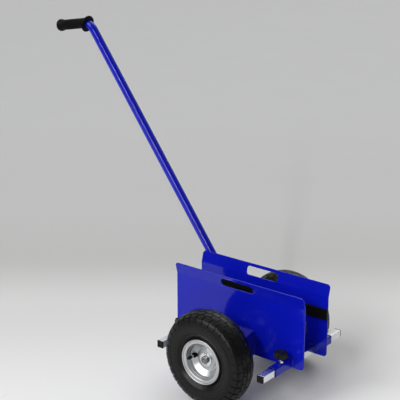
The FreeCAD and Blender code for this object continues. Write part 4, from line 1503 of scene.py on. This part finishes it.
class DOLLY_OT_draw_tubes(Operator):
    """The drawbar's two tubes and the screws at their seam"""
    bl_idname = "dolly.draw_tubes"
    bl_label = "Drawbar tubes"

    def execute(self, context):
        drawbar = context.scene.dolly_drawbar
        places = DrawbarPlaces(drawbar)
        way = places.way
        outer = drawbar.diameter / 2
        bore = outer - drawbar.wall
        seam_edge = outer - drawbar.wall * 0.7
        corners = [(0, bore, 0.0003), (0, outer, 0.0005), (drawbar.lower - drawbar.seam, outer, 0.0004)]
        corners += [(drawbar.lower, seam_edge, 0.0001), (drawbar.lower, bore, 0.0001)]
        bm = bmesh.new()
        turned(bm, places.foot, way, rounded(corners), 64, True, OUT)
        add_piece("lower_draw_tube", bm, "blue_paint", "pull_drawbar", "lower_drawbar")
        end = places.corner + places.grip_way * (drawbar.grip_reach - GRIP_END_WALL)
        bends = [(point.x, point.z, bend) for point, bend in
                 ((places.seam, 0), (places.corner, drawbar.bend), (end, 0))]
        path = [Vector((x, DRAWBAR_Y, z)) for x, z in rounded(bends, closed=False, steps=18)]
        path.insert(1, path[0] + way * drawbar.seam)
        outside = swept_loops(path, lambda index: outer if index else seam_edge, OUT, 64)
        inside = swept_loops(path, bore, OUT, 64)
        bm = bmesh.new()
        skin(bm, outside + inside[::-1], joined=True)
        add_piece("upper_draw_tube", bm, "blue_paint", "pull_drawbar", "upper_drawbar")
        bm = bmesh.new()
        for side in (-1, 1):
            self.screw(bm, places.seam + way * side * drawbar.screw_from_seam + OUT * outer, way)
        add_piece("tube_screws", bm, "bright_zinc", "pull_drawbar", "seam_screws")
        return {"FINISHED"}

    def screw(self, bm, seat, way):
        """A button-head screw with a hexagon recess."""
        recess = hexagon(0.004)
        shank = 0.003
        profile = [(-0.012, 0), (-0.012, 0.0024), (-0.0114, shank), (0, shank)]
        profile += [(0, 0.0053), (0.0004, 0.0055)]
        for step in range(1, 6):
            angle = QUARTER * step / 6
            profile.append((0.0006 + 0.0026 * math.sin(angle), 0.0030 + 0.0025 * math.cos(angle)))
        profile += [(0.0032, 0.0029), (0.0032, recess), (0.0014, recess), (0.0010, 0)]
        turned(bm, seat, OUT, profile, 48, False, way)


class DOLLY_OT_socket(Operator):
    """Socket for the drawbar's foot with its lugs, nut and welds"""
    bl_idname = "dolly.socket"
    bl_label = "Drawbar socket"

    def execute(self, context):
        drawbar = context.scene.dolly_drawbar
        plates = context.scene.dolly_plates
        places = DrawbarPlaces(drawbar)
        way = places.way
        start = places.foot - way * drawbar.socket_floor
        bore = drawbar.diameter / 2 + SOCKET_PLAY
        outer = drawbar.diameter / 2 + drawbar.socket_wall
        span = drawbar.socket_length
        floor = drawbar.socket_floor
        profile = rounded([(0, 0, 0), (0, outer, 0.0008), (span, outer, 0.0008), (span, bore, 0.0006),
                           (floor, bore, 0.0006), (floor, 0, 0)], closed=False)
        bm = bmesh.new()
        turned(bm, start, way, profile, 64, False, OUT)
        add_piece("socket_tube", bm, "blue_paint", "left_carriage", "drawbar_socket")
        lugs = bmesh.new()
        beads = bmesh.new()
        face = INNER_FACE + plates.sheet
        across = way.cross(OUT).normalized()
        from_end = LUG_FROM_END + LUG_HALF_SIZES[1]
        for distance in (from_end, span - from_end):
            middle = start + way * distance
            middle.y = 0
            self.lug(lugs, middle, across, way, face, outer)
            ring = []
            for u, v in box_outline(*LUG_HALF_SIZES, 0.0015):
                ring.append(middle + OUT * (face + plates.weld * BEAD_OFF_PLATE) + across * u + way * v)
            weld_bead(beads, ring, plates.weld * 0.8, OUT, True)
        add_piece("lug_blocks", lugs, "blue_paint", "left_carriage", "socket_lugs")
        add_piece("lug_welds", beads, "blue_paint", "left_carriage")
        nut = bmesh.new()
        flats = context.scene.dolly_clamps.nut_flats
        base = SOCKET_NUT_MIDDLE.copy()
        base.y = SOCKET_NUT_LOW.y
        nut_mesh(nut, base, OUT, SOCKET_NUT_HIGH.y - SOCKET_NUT_LOW.y, flats)
        add_piece("socket_hex_nut", nut, "bright_zinc", "left_carriage", "socket_nut")
        return {"FINISHED"}

    def lug(self, bm, middle, across, way, face, outer):
        """A block from the plate to the socket, hollowed to fit round it."""
        outline = box_outline(*LUG_HALF_SIZES, 0.001)
        loops = []
        for y in (face, face + 0.004):
            loops.append([middle + OUT * y + across * u + way * v for u, v in outline])
        hollow = []
        for u, v in outline:
            y = DRAWBAR_Y - math.sqrt(outer ** 2 - u ** 2) + FIT_GAP
            hollow.append(middle + OUT * y + across * u + way * v)
        skin(bm, loops + [hollow])


class DOLLY_OT_grip(Operator):
    """Ribbed rubber grip with a guard disc and a flared end"""
    bl_idname = "dolly.grip"
    bl_label = "Grip"

    def execute(self, context):
        drawbar = context.scene.dolly_drawbar
        places = DrawbarPlaces(drawbar)
        start = drawbar.grip_start
        end = drawbar.grip_reach
        body = drawbar.grip_diameter / 2
        bore = drawbar.diameter / 2 + FIT_GAP
        ribs = drawbar.grip_ribs

        def ribbed(depth):
            def radius(angle):
                wave = 0.5 - 0.5 * math.cos(ribs * angle)
                return body - depth * (1 - wave) ** 2
            return radius

        profile = [(start, bore), (start, 0.0195)]
        guard = 0.00225
        for step in range(13):
            angle = math.pi * step / 12
            profile.append((start + guard - guard * math.cos(angle), 0.0222 + 0.0022 * math.sin(angle)))
        low = body - 0.0008
        high = body + 0.0003
        collar = [(0.0048, 0.0190), (0.0054, 0.0165), (0.0068, body + 0.0002), (0.0120, body)]
        collar += [(0.0124, low), (0.0136, low), (0.0140, high), (0.0166, high), (0.0170, low)]
        collar += [(0.0180, low), (0.0186, body), (0.0200, body)]
        profile += [(start + along, radius) for along, radius in collar]
        bulb = end - 0.017
        ribs_start = start + 0.0200
        ribs_end = bulb - 0.006
        for step in range(25):
            share = step / 24
            depth = 0.0008 * min(1, 6 * share, 6 * (1 - share))
            along = ribs_start + (ribs_end - ribs_start) * share
            profile.append((along, ribbed(depth)))
        knob = [(-0.005, body), (-0.002, body + 0.0002), (0.001, body + 0.0011), (0.004, body + 0.0024)]
        knob += [(0.0075, 0.0179), (0.0105, 0.0178), (0.0135, 0.0168), (0.0155, 0.0150), (0.0166, 0.0124)]
        profile += [(bulb + along, radius) for along, radius in knob]
        profile += [(end, 0.0085), (end - 0.0003, 0.004), (end - 0.0004, 0)]
        profile += [(end - GRIP_END_WALL, 0), (end - GRIP_END_WALL, bore)]
        bm = bmesh.new()
        turned(bm, places.corner, places.grip_way, profile, ribs * 8, True, OUT)
        for vert in bm.verts:
            vert.co = round_bend(vert.co, places, drawbar.bend)
        add_piece("ribbed_grip", bm, "rubber", "pull_drawbar", "grip")
        return {"FINISHED"}


# Stage

FLOOR_REACH = 30
VIEW_REACH = 200
LAMP_REACH = 3


class DOLLY_OT_stage(Operator):
    """Pale floor, soft studio light and the camera"""
    bl_idname = "dolly.stage"
    bl_label = "Stage"

    def execute(self, context):
        scene = context.scene
        studio = scene.dolly_studio
        finishes = scene.dolly_finishes
        bm = bmesh.new()
        bmesh.ops.create_grid(bm, x_segments=8, y_segments=8, size=FLOOR_REACH)
        mesh = bpy.data.meshes.new("studio_floor")
        bm.to_mesh(mesh)
        bm.free()
        floor = bpy.data.objects.new("studio_floor", mesh)
        scene.collection.objects.link(floor)
        surface = Surface("studio_floor")
        away = (-math.sin(studio.azimuth), math.cos(studio.azimuth), 0)
        # The floor's tones paint the studio's light: paler in front, a band of painted shade behind the
        # dolly and dimmer far off.
        painted_light_floor_surface(surface, finishes.floor, finishes.floor_painted_shade_band, finishes.floor_far_painted_dimness, away)
        mesh.materials.append(surface.material)
        self.camera(scene, studio)
        self.light(scene, studio)
        scene.view_settings.view_transform = "Standard"
        return {"FINISHED"}

    def camera(self, scene, studio):
        """The camera, turned towards its target."""
        camera = bpy.data.objects.new("studio_camera", bpy.data.cameras.new("studio_camera"))
        flat = math.cos(studio.elevation)
        back = Vector((math.sin(studio.azimuth) * flat, -math.cos(studio.azimuth) * flat,
                       math.sin(studio.elevation)))
        camera.location = Vector(studio.target) + back * studio.distance
        camera.rotation_euler = (-back).to_track_quat("-Z", "Y").to_euler()
        camera.data.sensor_width = 36
        camera.data.lens = studio.lens
        camera.data.clip_end = VIEW_REACH
        scene.collection.objects.link(camera)
        scene.camera = camera

    def lamp(self, scene, name, strength, spread, way):
        """A distant soft lamp."""
        lamp = bpy.data.lights.new(name, "SUN")
        lamp.energy = strength
        lamp.angle = spread
        item = bpy.data.objects.new(name, lamp)
        item.location = Vector(way) * -LAMP_REACH
        item.rotation_euler = Vector(way).to_track_quat("-Z", "Y").to_euler()
        scene.collection.objects.link(item)

    def strip(self, scene, studio):
        """A long narrow lamp whose reflection runs along the drawbar."""
        lamp = bpy.data.lights.new("strip_lamp", "AREA")
        lamp.energy = studio.strip_lamp
        lamp.shape = "RECTANGLE"
        lamp.size = studio.strip_width
        lamp.size_y = studio.strip_length
        item = bpy.data.objects.new("strip_lamp", lamp)
        away = -Vector(studio.strip_way).normalized()
        lean = Matrix.Rotation(studio.strip_turn, 3, "Z")
        item.location = away * studio.strip_distance
        item.rotation_euler = (away.to_track_quat("Z", "Y").to_matrix() @ lean).to_euler()
        item.visible_camera = False
        scene.collection.objects.link(item)

    def light(self, scene, studio):
        """The lamps, and a studio that is brighter on one side."""
        self.lamp(scene, "large_lamp", studio.lamp, studio.lamp_spread, studio.lamp_way)
        self.lamp(scene, "back_lamp", studio.back_lamp, studio.back_spread, studio.back_way)
        self.strip(scene, studio)
        world = bpy.data.worlds.new("studio_light")
        world.use_nodes = True
        nodes = world.node_tree.nodes
        links = world.node_tree.links
        background = nodes["Background"]
        background.inputs["Color"].default_value = (1, 1, 1, 1)
        side = nodes.new("ShaderNodeVectorMath")
        side.operation = "DOT_PRODUCT"
        side.inputs[1].default_value = studio.bright_way
        links.new(nodes.new("ShaderNodeTexCoord").outputs["Generated"], side.inputs[0])
        strength = nodes.new("ShaderNodeMapRange")
        ends = {"From Min": 0.2, "From Max": 0.9, "To Min": studio.dark, "To Max": studio.bright}
        for name, value in ends.items():
            strength.inputs[name].default_value = value
        links.new(side.outputs["Value"], strength.inputs["Value"])
        links.new(strength.outputs["Result"], background.inputs["Strength"])
        scene.world = world


STEPS = (
    DOLLY_OT_side_plates,
    DOLLY_OT_rubber_strips,
    DOLLY_OT_bar_sleeves,
    DOLLY_OT_axle_brackets,
    DOLLY_OT_weld_beads,
    DOLLY_OT_cross_bars,
    DOLLY_OT_star_knobs,
    DOLLY_OT_axles,
    DOLLY_OT_tyres,
    DOLLY_OT_rims,
    DOLLY_OT_bearings,
    DOLLY_OT_valves,
    DOLLY_OT_draw_tubes,
    DOLLY_OT_socket,
    DOLLY_OT_grip,
    DOLLY_OT_stage,
)


class DOLLY_PT_pieces(Panel):
    """Lists the pieces and their sizes"""
    bl_idname = "DOLLY_PT_pieces"
    bl_label = "Door dolly"
    bl_space_type = "VIEW_3D"
    bl_region_type = "UI"
    bl_category = "Dolly"

    def draw(self, context):
        for step in STEPS:
            self.layout.operator(step.bl_idname, text=step.bl_label)
        for attribute, group in GROUPS.items():
            box = self.layout.box()
            box.label(text=group.__doc__)
            for name in group.__annotations__:
                box.prop(getattr(context.scene, attribute), name)


CLASSES = (*GROUPS.values(), *STEPS, DOLLY_PT_pieces)


def register():
    for item in CLASSES:
        bpy.utils.register_class(item)
    for attribute, group in GROUPS.items():
        setattr(bpy.types.Scene, attribute, PointerProperty(type=group))


def unregister():
    for attribute in GROUPS:
        delattr(bpy.types.Scene, attribute)
    for item in reversed(CLASSES):
        bpy.utils.unregister_class(item)


def main():
    register()
    for step in STEPS:
        family, name = step.bl_idname.split(".")
        getattr(getattr(bpy.ops, family), name)()


if __name__ == "__main__":
    main()
